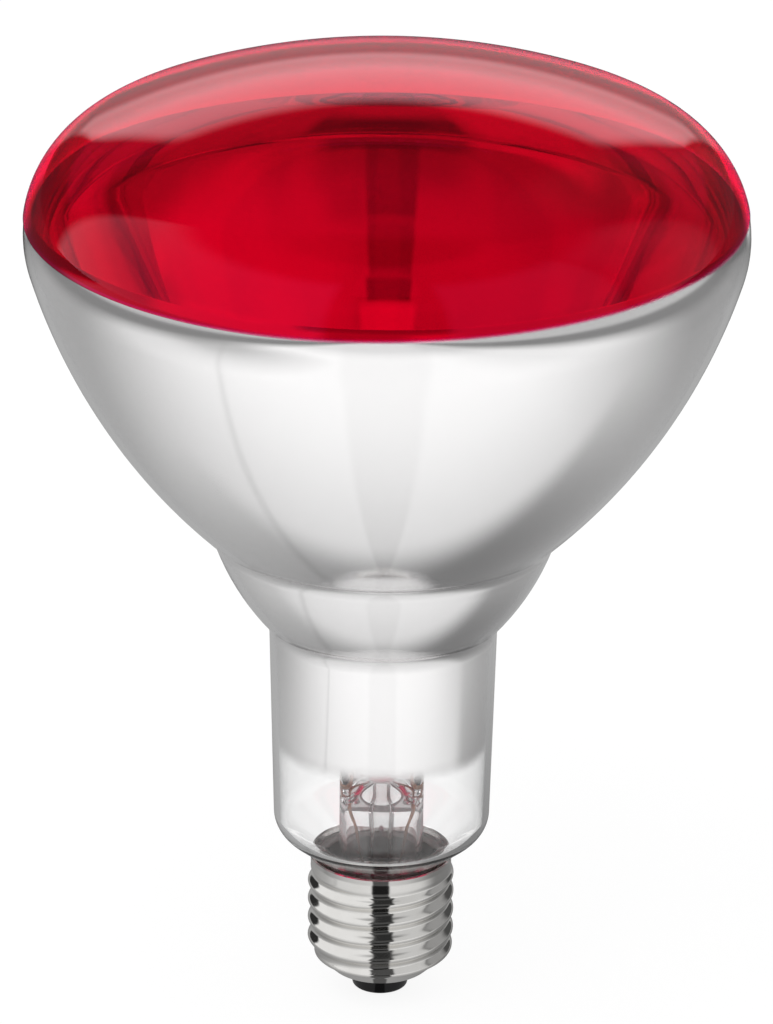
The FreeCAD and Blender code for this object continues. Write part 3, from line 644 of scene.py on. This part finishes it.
# Drawn copper wire is pinkish brown, and darker in places where the flame of the press tinted it
copper_wire, tree = new_material("drawn copper wire, heat tinted")
place = add(tree, "ShaderNodeTexCoord", out="Object")
tint = add(tree, "ShaderNodeTexNoise", {"Vector": place, "Scale": 1 / (COPPER_TINT * MM), "Detail": 2.0})
metal = add(tree, "ShaderNodeBsdfPrincipled", {
    "Base Color": add(tree, "ShaderNodeMix", {0: tint, 6: colour("c99a82"), 7: colour("a07a68")}, 2,
                      data_type="RGBA"),
    "Metallic": 1.0,
    "Roughness": add(tree, "ShaderNodeMapRange", {0: tint, 3: 0.25, 4: 0.45}),
})
add(tree, "ShaderNodeOutputMaterial", {"Surface": metal})

for name in ("inner_lead_left", "inner_lead_right"):
    dress(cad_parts[name], nickel_wire, "nickel_wire")
for name in ("outer_lead_centre", "outer_lead_side"):
    dress(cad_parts[name], copper_wire, "copper_wire")

# Screw shell
# The real piece is a brass cup, drawn, rolled with a round thread and plated with bright nickel. Its foot is
# turned in to hold the glass insulator, and its rim flares a little around the bulb.

SHELL_WALL = 0.35
SHELL_RADIUS = 12.6
LIP_RADIUS = 12.95
LIP_FOOT = 25.9
CAP_TOP = 27.0
SHELL_SHOULDER = 8.2
DISH_RADIUS = 8.9
DISH_HEIGHT = 4.676
MOUTH_RADIUS = 5.6
MOUTH_HEIGHT = 4.076
THREAD_LONGEST = 0.16
THREAD_TURNS = 160
ROLLED_RING = 0.35
ROLLED_STRETCH = 0.06
ROLLED_DEPTH = 0.006
DULL_PATCH = 4
SHELL = [
    (MOUTH_RADIUS, MOUTH_HEIGHT),
    (DISH_RADIUS, DISH_HEIGHT, 0.6),
    (SHELL_RADIUS, SHELL_SHOULDER, 3.0),
    (SHELL_RADIUS, LIP_FOOT, 1.0),
    (LIP_RADIUS, CAP_TOP),
]
shell_outside = outline(SHELL, 0, THREAD_LONGEST)
shell_inside = outline(SHELL, SHELL_WALL, THREAD_LONGEST)
shell = lathe("threaded_shell", shell_inside[::-1] + shell_outside, closed=True, turns=THREAD_TURNS)

# Bright nickel is a white mirror with a trace of yellow. Rolling leaves faint rings, handling dull patches
bright_nickel, tree = new_material("bright nickel plate on rolled brass")
place = add(tree, "ShaderNodeTexCoord", out="Object")
rolled = add(tree, "ShaderNodeMapping", {"Vector": place, "Scale": (ROLLED_STRETCH, ROLLED_STRETCH, 1)})
rings = add(tree, "ShaderNodeTexNoise", {"Vector": rolled, "Scale": 1 / (ROLLED_RING * MM), "Detail": 3.0})
dull = add(tree, "ShaderNodeTexNoise", {"Vector": place, "Scale": 1 / (DULL_PATCH * MM), "Detail": 4.0})
metal = add(tree, "ShaderNodeBsdfPrincipled", {
    "Base Color": add(tree, "ShaderNodeMix", {0: dull, 6: colour("ebeae8"), 7: colour("dcdad6")}, 2,
                      data_type="RGBA"),
    "Metallic": 1.0,
    "Roughness": add(tree, "ShaderNodeMapRange", {0: dull, 1: 0.35, 2: 0.7, 3: 0.05, 4: 0.13}),
    "Normal": add(tree, "ShaderNodeBump", {"Height": rings, "Distance": ROLLED_DEPTH * MM}),
})
add(tree, "ShaderNodeOutputMaterial", {"Surface": metal})

THREAD_SIZES = {"Pitch": 3.629 * MM, "Throw": 0.5 * MM, "Start": 1.2 * MM, "Foot": 6.0 * MM,
                "Top": 24.6 * MM, "Fade": 2.0 * MM}
tree = new_tree("knuckle thread", THREAD_SIZES)
size_of = add(tree, "NodeGroupInput").node.outputs
height = add(tree, "ShaderNodeSeparateXYZ", {0: add(tree, "GeometryNodeInputPosition")}, "Z")
foot_end = add(tree, "ShaderNodeMath", {0: size_of["Foot"], 1: size_of["Fade"]})
top_start = add(tree, "ShaderNodeMath", {0: size_of["Top"], 1: size_of["Fade"]}, operation="SUBTRACT")
rise = add(tree, "ShaderNodeMapRange", {0: height, 1: size_of["Foot"], 2: foot_end},
           interpolation_type="SMOOTHSTEP")
fall = add(tree, "ShaderNodeMapRange", {0: height, 1: size_of["Top"], 2: top_start},
           interpolation_type="SMOOTHSTEP")
both = add(tree, "ShaderNodeMath", {0: rise, 1: fall}, operation="MULTIPLY")
throw = add(tree, "ShaderNodeMath", {0: both, 1: size_of["Throw"]}, operation="MULTIPLY")
climb = add(tree, "ShaderNodeMath", {0: height, 1: size_of["Start"]}, operation="SUBTRACT")
turns = add(tree, "ShaderNodeMath", {0: climb, 1: size_of["Pitch"]}, operation="DIVIDE")
angle = add(tree, "ShaderNodeMath", {0: turns, 1: 2 * math.pi}, operation="MULTIPLY")
sideways = add(tree, "ShaderNodeCombineXYZ", {
    "X": add(tree, "ShaderNodeMath", {0: angle}, operation="COSINE"),
    "Y": add(tree, "ShaderNodeMath", {0: angle}, operation="SINE"),
})
shift = add(tree, "ShaderNodeVectorMath", {0: sideways, "Scale": throw}, operation="SCALE")
rolled = add(tree, "GeometryNodeSetPosition", {"Geometry": size_of["Geometry"], "Offset": shift})
grow(shell, tree, THREAD_SIZES, bright_nickel, rolled)
dress(shell, bright_nickel, "nickel_plate", "screw_shell")

# Basing cement
# The real piece is a ring of resin and stone flour, put in as a paste and baked hard between the shell and
# the foot of the bulb. It is a pale pinkish tan, dry and grainy, and can be seen through the glass.

CEMENT_FOOT = 16.4
CEMENT_TOP = 25.7
CEMENT_RADIUS = 11.6
COLLAR_FOOT = 24.4
COLLAR_RADIUS = 12.2
CEMENT_GAP = 0.05
CEMENT_GRAIN = 0.5
CEMENT_ROUGH = 0.15
CEMENT_STAIN = 4
cement_bore = SPIGOT_RADIUS + CEMENT_GAP

ring = lathe("cement_ring", outline([
    (cement_bore, CEMENT_FOOT),
    (CEMENT_RADIUS, CEMENT_FOOT, 0.2),
    (CEMENT_RADIUS, COLLAR_FOOT - 1.0, 0.3),
    (COLLAR_RADIUS, COLLAR_FOOT, 0.3),
    (COLLAR_RADIUS, CEMENT_TOP, 0.3),
    (cement_bore, CEMENT_TOP - 0.2),
    (cement_bore, CEMENT_FOOT),
], longest=0.4)[:-1], closed=True, turns=96)

# Baked cement is matt, with the coarse grain of its stone flour and faint brownish stains
cement, tree = new_material("baked basing cement")
place = add(tree, "ShaderNodeTexCoord", out="Object")
grains = add(tree, "ShaderNodeTexNoise", {"Vector": place, "Scale": 1 / (CEMENT_GRAIN * MM), "Detail": 4.0})
stain = add(tree, "ShaderNodeTexNoise", {"Vector": place, "Scale": 1 / (CEMENT_STAIN * MM), "Detail": 2.0})
chalk = add(tree, "ShaderNodeBsdfPrincipled", {
    "Base Color": add(tree, "ShaderNodeMix", {0: stain, 6: colour("cdbcb6"), 7: colour("a8948e")}, 2,
                      data_type="RGBA"),
    "Roughness": 0.85,
    "Normal": add(tree, "ShaderNodeBump", {"Height": grains, "Distance": CEMENT_ROUGH * MM}),
})
add(tree, "ShaderNodeOutputMaterial", {"Surface": chalk})
dress(ring, cement, "basing_cement", "basing_cement")

# Insulator
# The real piece is black glass, poured into the foot of the shell and pressed to a boss while it was soft.
# The boss stands out of the shell's turned in mouth and carries the centre contact.

INSULATOR_TOP = 6.8
BOSS_FOOT = 0.5
BOSS_RADIUS = 4.9
SEAT_RADIUS = 3.65
SEAT_TOP = 0.7
WIRE_HOLE = 0.9
INSULATOR_EDGE = 10.0
SHELL_GAP = 0.05
SKIN_WAVE = 2.5
SKIN_DEPTH = 0.05
boss_side = MOUTH_RADIUS - SHELL_GAP
over_wall = SHELL_WALL + SHELL_GAP

insulator = lathe("black_glass_insulator", outline([
    (WIRE_HOLE, SEAT_TOP),
    (SEAT_RADIUS, SEAT_TOP),
    (SEAT_RADIUS, BOSS_FOOT, 0.08),
    (BOSS_RADIUS, BOSS_FOOT, 0.6),
    (boss_side, MOUTH_HEIGHT, 1.0),
    (boss_side, MOUTH_HEIGHT + over_wall),
    (DISH_RADIUS - 0.4, DISH_HEIGHT + over_wall),
    (INSULATOR_EDGE, INSULATOR_TOP),
    (WIRE_HOLE, INSULATOR_TOP),
], longest=0.5), closed=True, turns=96)

# Poured glass is deep black and glossy, with a soft uneven skin from the press
black_glass, tree = new_material("poured black glass")
place = add(tree, "ShaderNodeTexCoord", out="Object")
uneven = add(tree, "ShaderNodeTexNoise", {"Vector": place, "Scale": 1 / (SKIN_WAVE * MM), "Detail": 2.0})
gloss = add(tree, "ShaderNodeBsdfPrincipled", {
    "Base Color": add(tree, "ShaderNodeMix", {0: uneven, 6: colour("060607"), 7: colour("101012")}, 2,
                      data_type="RGBA"),
    "Roughness": add(tree, "ShaderNodeMapRange", {0: uneven, 1: 0.3, 2: 0.7, 3: 0.04, 4: 0.12}),
    "IOR": 1.52,
    "Normal": add(tree, "ShaderNodeBump", {"Height": uneven, "Distance": SKIN_DEPTH * MM}),
})
add(tree, "ShaderNodeOutputMaterial", {"Surface": gloss})
dress(insulator, black_glass, "black_glass", "insulator")

# Centre contact
# The real piece is a brass ring, punched from sheet and seated in the foot of the insulator. The centre lead
# comes through its hole, and is soldered to it.

CONTACT_RADIUS = 3.6
CONTACT_FOOT = 0.2
BRASS_STAIN = 1.2

contact = lathe("contact_ring", outline([
    (WIRE_HOLE, CONTACT_FOOT, 0.05),
    (CONTACT_RADIUS, CONTACT_FOOT, 0.15),
    (CONTACT_RADIUS, SEAT_TOP, 0.05),
    (WIRE_HOLE, SEAT_TOP),
    (WIRE_HOLE, CONTACT_FOOT),
], longest=0.5)[:-1], closed=True, turns=96)

# Punched brass dulls to a brownish yellow, in small stains that take its gloss
dull_brass, tree = new_material("punched brass, dulled")
place = add(tree, "ShaderNodeTexCoord", out="Object")
stain = add(tree, "ShaderNodeTexNoise", {"Vector": place, "Scale": 1 / (BRASS_STAIN * MM), "Detail": 4.0})
metal = add(tree, "ShaderNodeBsdfPrincipled", {
    "Base Color": add(tree, "ShaderNodeMix", {0: stain, 6: colour("d2b06a"), 7: colour("a98748")}, 2,
                      data_type="RGBA"),
    "Metallic": 1.0,
    "Roughness": add(tree, "ShaderNodeMapRange", {0: stain, 3: 0.2, 4: 0.5}),
})
add(tree, "ShaderNodeOutputMaterial", {"Surface": metal})
dress(contact, dull_brass, "contact_brass", "contact_plate")

# Solder
# The real pieces are a drop of tin solder that joins the centre lead to its contact, pressed flat at its
# tip, and a bead that joins the side lead to the rim of the shell. Both froze with a slightly wrinkled skin.

SOLDER_RADIUS = 2.2
SOLDER_FLAT = 1.4
PLUG_TOP = 1.9
WRINKLE = 0.8
WRINKLE_DEPTH = 0.08
drop_top = CONTACT_FOOT - 0.02
plug_side = WIRE_HOLE - 0.05

drop = lathe("centre_solder_drop", outline([
    (0, 0),
    (SOLDER_FLAT, 0, 0.3),
    (SOLDER_RADIUS, drop_top, 0.02),
    (plug_side, drop_top),
    (plug_side, PLUG_TOP),
    (0, PLUG_TOP),
], longest=0.3), turns=64)

# Tin solder freezes to a bright grey skin with small wrinkles, and is duller in places
tin_solder, tree = new_material("frozen tin solder")
place = add(tree, "ShaderNodeTexCoord", out="Object")
wrinkles = add(tree, "ShaderNodeTexNoise", {"Vector": place, "Scale": 1 / (WRINKLE * MM), "Detail": 3.0})
metal = add(tree, "ShaderNodeBsdfPrincipled", {
    "Base Color": add(tree, "ShaderNodeMix", {0: wrinkles, 6: colour("c9cbcd"), 7: colour("a3a6a9")}, 2,
                      data_type="RGBA"),
    "Metallic": 1.0,
    "Roughness": add(tree, "ShaderNodeMapRange", {0: wrinkles, 3: 0.18, 4: 0.4}),
    "Normal": add(tree, "ShaderNodeBump", {"Height": wrinkles, "Distance": WRINKLE_DEPTH * MM}),
})
add(tree, "ShaderNodeOutputMaterial", {"Surface": metal})
dress(drop, tin_solder, "solder", "centre_solder")
dress(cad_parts["side_solder"], tin_solder, "solder")

# Studio
# A white table under a light tent: tall softboxes in front, a darker slit between them where the camera
# stands, and a bright panel low behind the lamp. The bulb mirrors all of it, so each part is painted.

DEGREE = math.pi / 180


def within(tree, given, low, high, soft):
    """1 where a value lies between two limits, and 0 outside them, with soft ends."""
    rise = add(tree, "ShaderNodeMapRange", {0: given, 1: low - soft, 2: low + soft},
               interpolation_type="SMOOTHSTEP")
    fall = add(tree, "ShaderNodeMapRange", {0: given, 1: high + soft, 2: high - soft},
               interpolation_type="SMOOTHSTEP")
    return add(tree, "ShaderNodeMath", {0: rise, 1: fall}, operation="MULTIPLY")


# The tent as the mirror behind the glass shows it, in degrees. Each part has its azimuths (0 at the camera,
# 90 to the right) and their softness, its elevations and theirs, and its brightness over those before it
TENT = [
    (-200, 200, 1, 50, 72, 8, 0.72),
    (-122, 122, 10, -10, 72, 6, 0.50),
    (0, 122, 10, -10, 72, 6, 0.60),
    (-75, 0, 6, -10, 12, 2, 0.85),
    (-65, -38, 3, 6, 12, 2, 1.00),
    (-122, 122, 10, 16, 72, 3, 0.57),
    (8, 122, 12, 9, 72, 4, 0.70),
    (-122, 122, 10, 26, 72, 4, 0.66),
    (20, 122, 12, 28, 72, 8, 0.82),
    (42, 114, 8, 13, 72, 3, 0.98),
    (90, 112, 4, 18, 24, 2, 0.68),
    (-26, 24, 8, 13, 22, 3, 0.35),
    (6, 22, 6, 20, 28, 3, 0.42),
    (-27, 21, 4, -10, 13, 1.5, 0.34),
    (-27, 21, 4, 12, 14.5, 1.0, 0.25),
    (-75, 22, 6, -10, 5.5, 1.5, 0.85),
    (-19, 7, 4, -10, 5.5, 1.5, 0.52),
    (-14, 13, 2, 43, 72, 1.5, 1.02),
    (-10.5, 7.5, 1.2, 13, 28, 1.5, 0.15),
    (-10.5, 7.5, 1.2, 28, 38, 1.5, 0.30),
    (-11, 9, 1.2, 38, 42.5, 0.8, 0.18),
]
# What stands behind the lamp, the same on both sides of straight behind (180)
BEHIND = [
    (127, 200, 4, 15, 31, 2, 0.54),
]
# The bare cap and the outer face of the glass show a darker room, with a plain slit and plain softboxes
TENT_OUTSIDE = [
    (-122, -19, 3, -10, 52, 6, 0.95),
    (19, 78, 3, -10, 52, 6, 0.68),
    (78, 122, 12, -10, 52, 6, 0.36),
    (124, 160, 3, -10, 52, 5, 0.08),
    (-17, 18, 1.5, -10, 36, 3, 0.08),
]
BEHIND_OUTSIDE = [
    (162, 200, 1.5, -10, 5, 2, 0.36),
    (162, 200, 1.5, 6, 29, 3, 0.95),
    (162, 200, 1.5, 13, 29, 3, 1.35),
]
DARK_ROOM = 0.14
DARK_ROOM_OUTSIDE = 0.03
# What isn't a mirror is lit by a plain room, and the camera sees white
ROOM_LIGHT = 0.75
WHITE = 1.0
# A ray's counts are whole numbers, so a half tells none from some
NONE_OR_SOME = 0.5

world = bpy.data.worlds.new("light_tent")
bpy.context.scene.world = world
world.use_nodes = True
tree = world.node_tree
tree.nodes.clear()
towards = add(tree, "ShaderNodeSeparateXYZ", {0: add(tree, "ShaderNodeTexCoord", out="Generated")})
sides = towards.node.outputs
front = add(tree, "ShaderNodeMath", {0: sides["Y"], 1: -1.0}, operation="MULTIPLY")
turned = add(tree, "ShaderNodeMath", {0: sides["X"], 1: front}, operation="ARCTAN2")
azimuth = add(tree, "ShaderNodeMath", {0: turned, 1: 1 / DEGREE}, operation="MULTIPLY")
raised = add(tree, "ShaderNodeMath", {0: sides["Z"]}, operation="ARCSINE")
elevation = add(tree, "ShaderNodeMath", {0: raised, 1: 1 / DEGREE}, operation="MULTIPLY")


def painted(tree, around, tent, rows):
    """Paints the rows of a tent over a brightness, one after another."""
    for left, right, side_soft, foot, top, top_soft, level in rows:
        across = within(tree, around, left, right, side_soft)
        up = within(tree, elevation, foot, top, top_soft)
        share = add(tree, "ShaderNodeMath", {0: across, 1: up}, operation="MULTIPLY")
        tent = add(tree, "ShaderNodeMix", {0: share, 2: tent, 3: level})
    return tent


path = add(tree, "ShaderNodeLightPath").node.outputs
outside = add(tree, "ShaderNodeMath", {0: path["Transmission Depth"], 1: NONE_OR_SOME}, operation="LESS_THAN")
aside = add(tree, "ShaderNodeMath", {0: azimuth}, operation="ABSOLUTE")
behind_glass = painted(tree, aside, painted(tree, azimuth, DARK_ROOM, TENT), BEHIND)
bare = painted(tree, aside, painted(tree, azimuth, DARK_ROOM_OUTSIDE, TENT_OUTSIDE), BEHIND_OUTSIDE)
tent = add(tree, "ShaderNodeMix", {0: outside, 2: behind_glass, 3: bare})
mirrored = add(tree, "ShaderNodeMath", {0: path["Is Glossy Ray"], 1: path["Is Transmission Ray"]},
               operation="MAXIMUM")
level = add(tree, "ShaderNodeMix", {0: mirrored, 2: ROOM_LIGHT, 3: tent})
level = add(tree, "ShaderNodeMix", {0: path["Is Camera Ray"], 2: level, 3: WHITE})
sky = add(tree, "ShaderNodeBackground", {"Color": colour("ffffff"), "Strength": level})
add(tree, "ShaderNodeOutputWorld", {"Surface": sky})

TABLE_HALF = 3.0

mesh = bmesh.new()
quarters = ((-1, -1), (1, -1), (1, 1), (-1, 1))
mesh.faces.new([mesh.verts.new((x * TABLE_HALF, y * TABLE_HALF, 0)) for x, y in quarters])
table = piece_from(mesh, "table")

# The mirror sees a painted glow on the table near the lamp, in millimetres from the lamp's axis: bright in
# front, and dim behind and in a painted shadow of the lamp, which reaches further to the back
FRONT_TO_BACK = (-170, 120, 1.09, 0.41)
SHADE_MIDDLE = (32, 5)
SHADE_SIDE = 165
SHADE_FRONT = 38
SHADE_BACK = 145
SHADE_DEPTH = 0.33
# A thin slanting darker line, painted into the glow that the mirror sees
DARK_LINE_SHIFT = 40
DARK_LINE_HALF = 4
DARK_LINE_SOFT = 3
DARK_LINE_LEVEL = 0.86
# Two places and the brightness at each: away from a dim corner, to the right, and towards the front
CORNER = (-340, -280)
FROM_CORNER = (60, 260, 0.55, 1.0)
TO_RIGHT = (120, 240, 1.0, 0.86)
FROM_FRONT = (-800, -450, 0.78, 1.0)
# Dim strips on both sides: where each begins and is full, and its brightness
STRIPS = [
    (320, 470, 0.25),
    (650, 800, 0.55),
]
# Far behind the lamp, as the glass shows it and as bare faces do: where it begins and is full, its middle's
# two places and their brightness, half its width and its softness in degrees, and its sides' brightness
FAR_THROUGH_GLASS = (385, 415, 420, 445, 0.7, 1.7, 27, 3, 0.2)
FAR_BARE = (250, 400, 420, 1500, 0.03, 0.3, 18, 2, 0.05)
# The tent's slit is painted on over the table in front, where the bare cap shows it
SLIT = (26, 40, 0.10, 0.015)
SLIT_HALF = 13
SLIT_SOFT = 2
PAPER_GLOW = 1.06
PAPER_LIT = 0.15

paper, tree = new_material("white paper on the table")
place = add(tree, "ShaderNodeTexCoord", out="Object")
axes = add(tree, "ShaderNodeSeparateXYZ", {0: place}).node.outputs
across = axes["X"]
along = axes["Y"]
near, far, first, last = FRONT_TO_BACK
shown = add(tree, "ShaderNodeMapRange", {0: along, 1: near * MM, 2: far * MM, 3: first, 4: last},
            interpolation_type="SMOOTHSTEP")
middle_x, middle_y = SHADE_MIDDLE
reach = add(tree, "ShaderNodeCombineXYZ", {
    "X": add(tree, "ShaderNodeMapRange", {0: across, 1: (middle_x - SHADE_SIDE) * MM,
                                          2: (middle_x + SHADE_SIDE) * MM, 3: -1.0, 4: 1.0}),
    "Y": add(tree, "ShaderNodeMapRange", {0: along, 1: (middle_y - SHADE_FRONT) * MM, 2: middle_y * MM,
                                          3: 1.0, 4: 0.0}),
    "Z": add(tree, "ShaderNodeMapRange", {0: along, 1: middle_y * MM, 2: (middle_y + SHADE_BACK) * MM}),
})
reach = add(tree, "ShaderNodeVectorMath", {0: reach}, "Value", operation="LENGTH")
shade = add(tree, "ShaderNodeMapRange", {0: reach, 3: SHADE_DEPTH, 4: 1.0}, interpolation_type="SMOOTHSTEP")
# A thin slanting darker line, painted into the mirror's glow
slant = add(tree, "ShaderNodeMath", {0: across, 1: along}, operation="SUBTRACT")
dark_line = within(tree, slant, -(DARK_LINE_SHIFT + DARK_LINE_HALF) * MM, -(DARK_LINE_SHIFT - DARK_LINE_HALF) * MM,
               DARK_LINE_SOFT * MM)
dark_line = add(tree, "ShaderNodeMapRange", {0: dark_line, 3: 1.0, 4: DARK_LINE_LEVEL})
from_corner = add(tree, "ShaderNodeVectorMath", {0: place, 1: Vector((*CORNER, 0)) * MM}, "Value",
                  operation="DISTANCE")
shares = [shade]
for given, row in ((from_corner, FROM_CORNER), (across, TO_RIGHT), (along, FROM_FRONT)):
    near, far, first, last = row
    shares.append(add(tree, "ShaderNodeMapRange", {0: given, 1: near * MM, 2: far * MM, 3: first, 4: last}))
for share in shares + [dark_line]:
    shown = add(tree, "ShaderNodeMath", {0: shown, 1: share}, operation="MULTIPLY")
aside = add(tree, "ShaderNodeMath", {0: across}, operation="ABSOLUTE")
for begin, full, level in STRIPS:
    strip = add(tree, "ShaderNodeMapRange", {0: aside, 1: begin * MM, 2: full * MM})
    shown = add(tree, "ShaderNodeMix", {0: strip, 2: shown, 3: level})

behind = add(tree, "ShaderNodeMath", {0: across, 1: along}, operation="ARCTAN2")
rooms = []
for begin, full, near, far, first, last, half, soft, sides in (FAR_THROUGH_GLASS, FAR_BARE):
    wedge = within(tree, behind, -half * DEGREE, half * DEGREE, soft * DEGREE)
    level = add(tree, "ShaderNodeMapRange", {0: along, 1: near * MM, 2: far * MM, 3: first, 4: last})
    level = add(tree, "ShaderNodeMix", {0: wedge, 2: sides, 3: level})
    share = add(tree, "ShaderNodeMapRange", {0: along, 1: begin * MM, 2: full * MM})
    rooms.append(add(tree, "ShaderNodeMix", {0: share, 2: shown, 3: level}))
path = add(tree, "ShaderNodeLightPath").node.outputs
outside = add(tree, "ShaderNodeMath", {0: path["Transmission Depth"], 1: NONE_OR_SOME}, operation="LESS_THAN")
shown = add(tree, "ShaderNodeMix", {0: outside, 2: rooms[0], 3: rooms[1]})

nearer = add(tree, "ShaderNodeMath", {0: along, 1: -1.0}, operation="MULTIPLY")
ahead = add(tree, "ShaderNodeMath", {0: across, 1: nearer}, operation="ARCTAN2")
wedge = within(tree, ahead, -SLIT_HALF * DEGREE, SLIT_HALF * DEGREE, SLIT_SOFT * DEGREE)
share = add(tree, "ShaderNodeMath", {0: wedge, 1: outside}, operation="MULTIPLY")
away = add(tree, "ShaderNodeVectorMath", {0: place}, "Value", operation="LENGTH")
near, far, first, last = SLIT
slit = add(tree, "ShaderNodeMapRange", {0: away, 1: near * MM, 2: far * MM, 3: first, 4: last})
shown = add(tree, "ShaderNodeMix", {0: share, 2: shown, 3: slit})

# Seen directly or through the glass the paper is plain white, and keeps the lamp's shadow
in_mirror = add(tree, "ShaderNodeMath", {0: path["Glossy Depth"], 1: NONE_OR_SOME}, operation="GREATER_THAN")
direct = add(tree, "ShaderNodeMath", {0: path["Is Camera Ray"], 1: path["Is Transmission Ray"]},
             operation="MAXIMUM")
direct = add(tree, "ShaderNodeMath", {0: direct, 1: PAPER_GLOW}, operation="MULTIPLY")
white = add(tree, "ShaderNodeEmission", {"Color": colour("ffffff"), "Strength": direct})
lit = add(tree, "ShaderNodeBsdfDiffuse", {"Color": colour("f4f4f4")})
bright = add(tree, "ShaderNodeMixShader", {0: PAPER_LIT, 1: white, 2: lit})
# In the mirror the paper glows instead with the painted pattern above: painted reflections and painted shade
pattern = add(tree, "ShaderNodeEmission", {"Color": colour("ffffff"), "Strength": shown})
add(tree, "ShaderNodeOutputMaterial", {
    "Surface": add(tree, "ShaderNodeMixShader", {0: in_mirror, 1: bright, 2: pattern})})
table.data.materials.append(paper)

top_light = bpy.data.lights.new("top_softbox", "AREA")
top_light.size = 1.0
top_light.energy = 4.0
lamp = bpy.data.objects.new("top_softbox", top_light)
lamp.location = (-0.3, -0.5, 1.3)
lamp.rotation_euler = Vector(lamp.location).to_track_quat("Z", "Y").to_euler()
lamp.visible_camera = False
lamp.visible_glossy = False
lamp.visible_transmission = False
bpy.context.scene.collection.objects.link(lamp)

# Camera
# It looks down at the lamp from the front, as in the photograph, with a long lens and a slight roll. Light
# may pass and be mirrored many times, because the bulb, its coats and its stem have many faces.

CAMERA_TILT = math.radians(22.676)
CAMERA_AWAY = 1.0496
CAMERA_AIM = Vector((0.00037, 0, 0.092678))
CAMERA_ROLL = math.radians(0.57)

lens = bpy.data.cameras.new("camera")
lens.sensor_fit = "VERTICAL"
lens.sensor_height = 36.0
lens.lens = 210.67
lens.clip_end = 20
camera = bpy.data.objects.new("camera", lens)
bpy.context.scene.collection.objects.link(camera)
back = Vector((0, -math.cos(CAMERA_TILT), math.sin(CAMERA_TILT)))
camera.matrix_world = (Matrix.Translation(CAMERA_AIM + back * CAMERA_AWAY)
                       @ back.to_track_quat("Z", "Y").to_matrix().to_4x4()
                       @ Matrix.Rotation(CAMERA_ROLL, 4, "Z"))
bpy.context.scene.camera = camera

scene = bpy.context.scene
scene.view_settings.view_transform = "Standard"
scene.cycles.max_bounces = 32
scene.cycles.transmission_bounces = 32
scene.cycles.glossy_bounces = 16
scene.cycles.transparent_max_bounces = 32
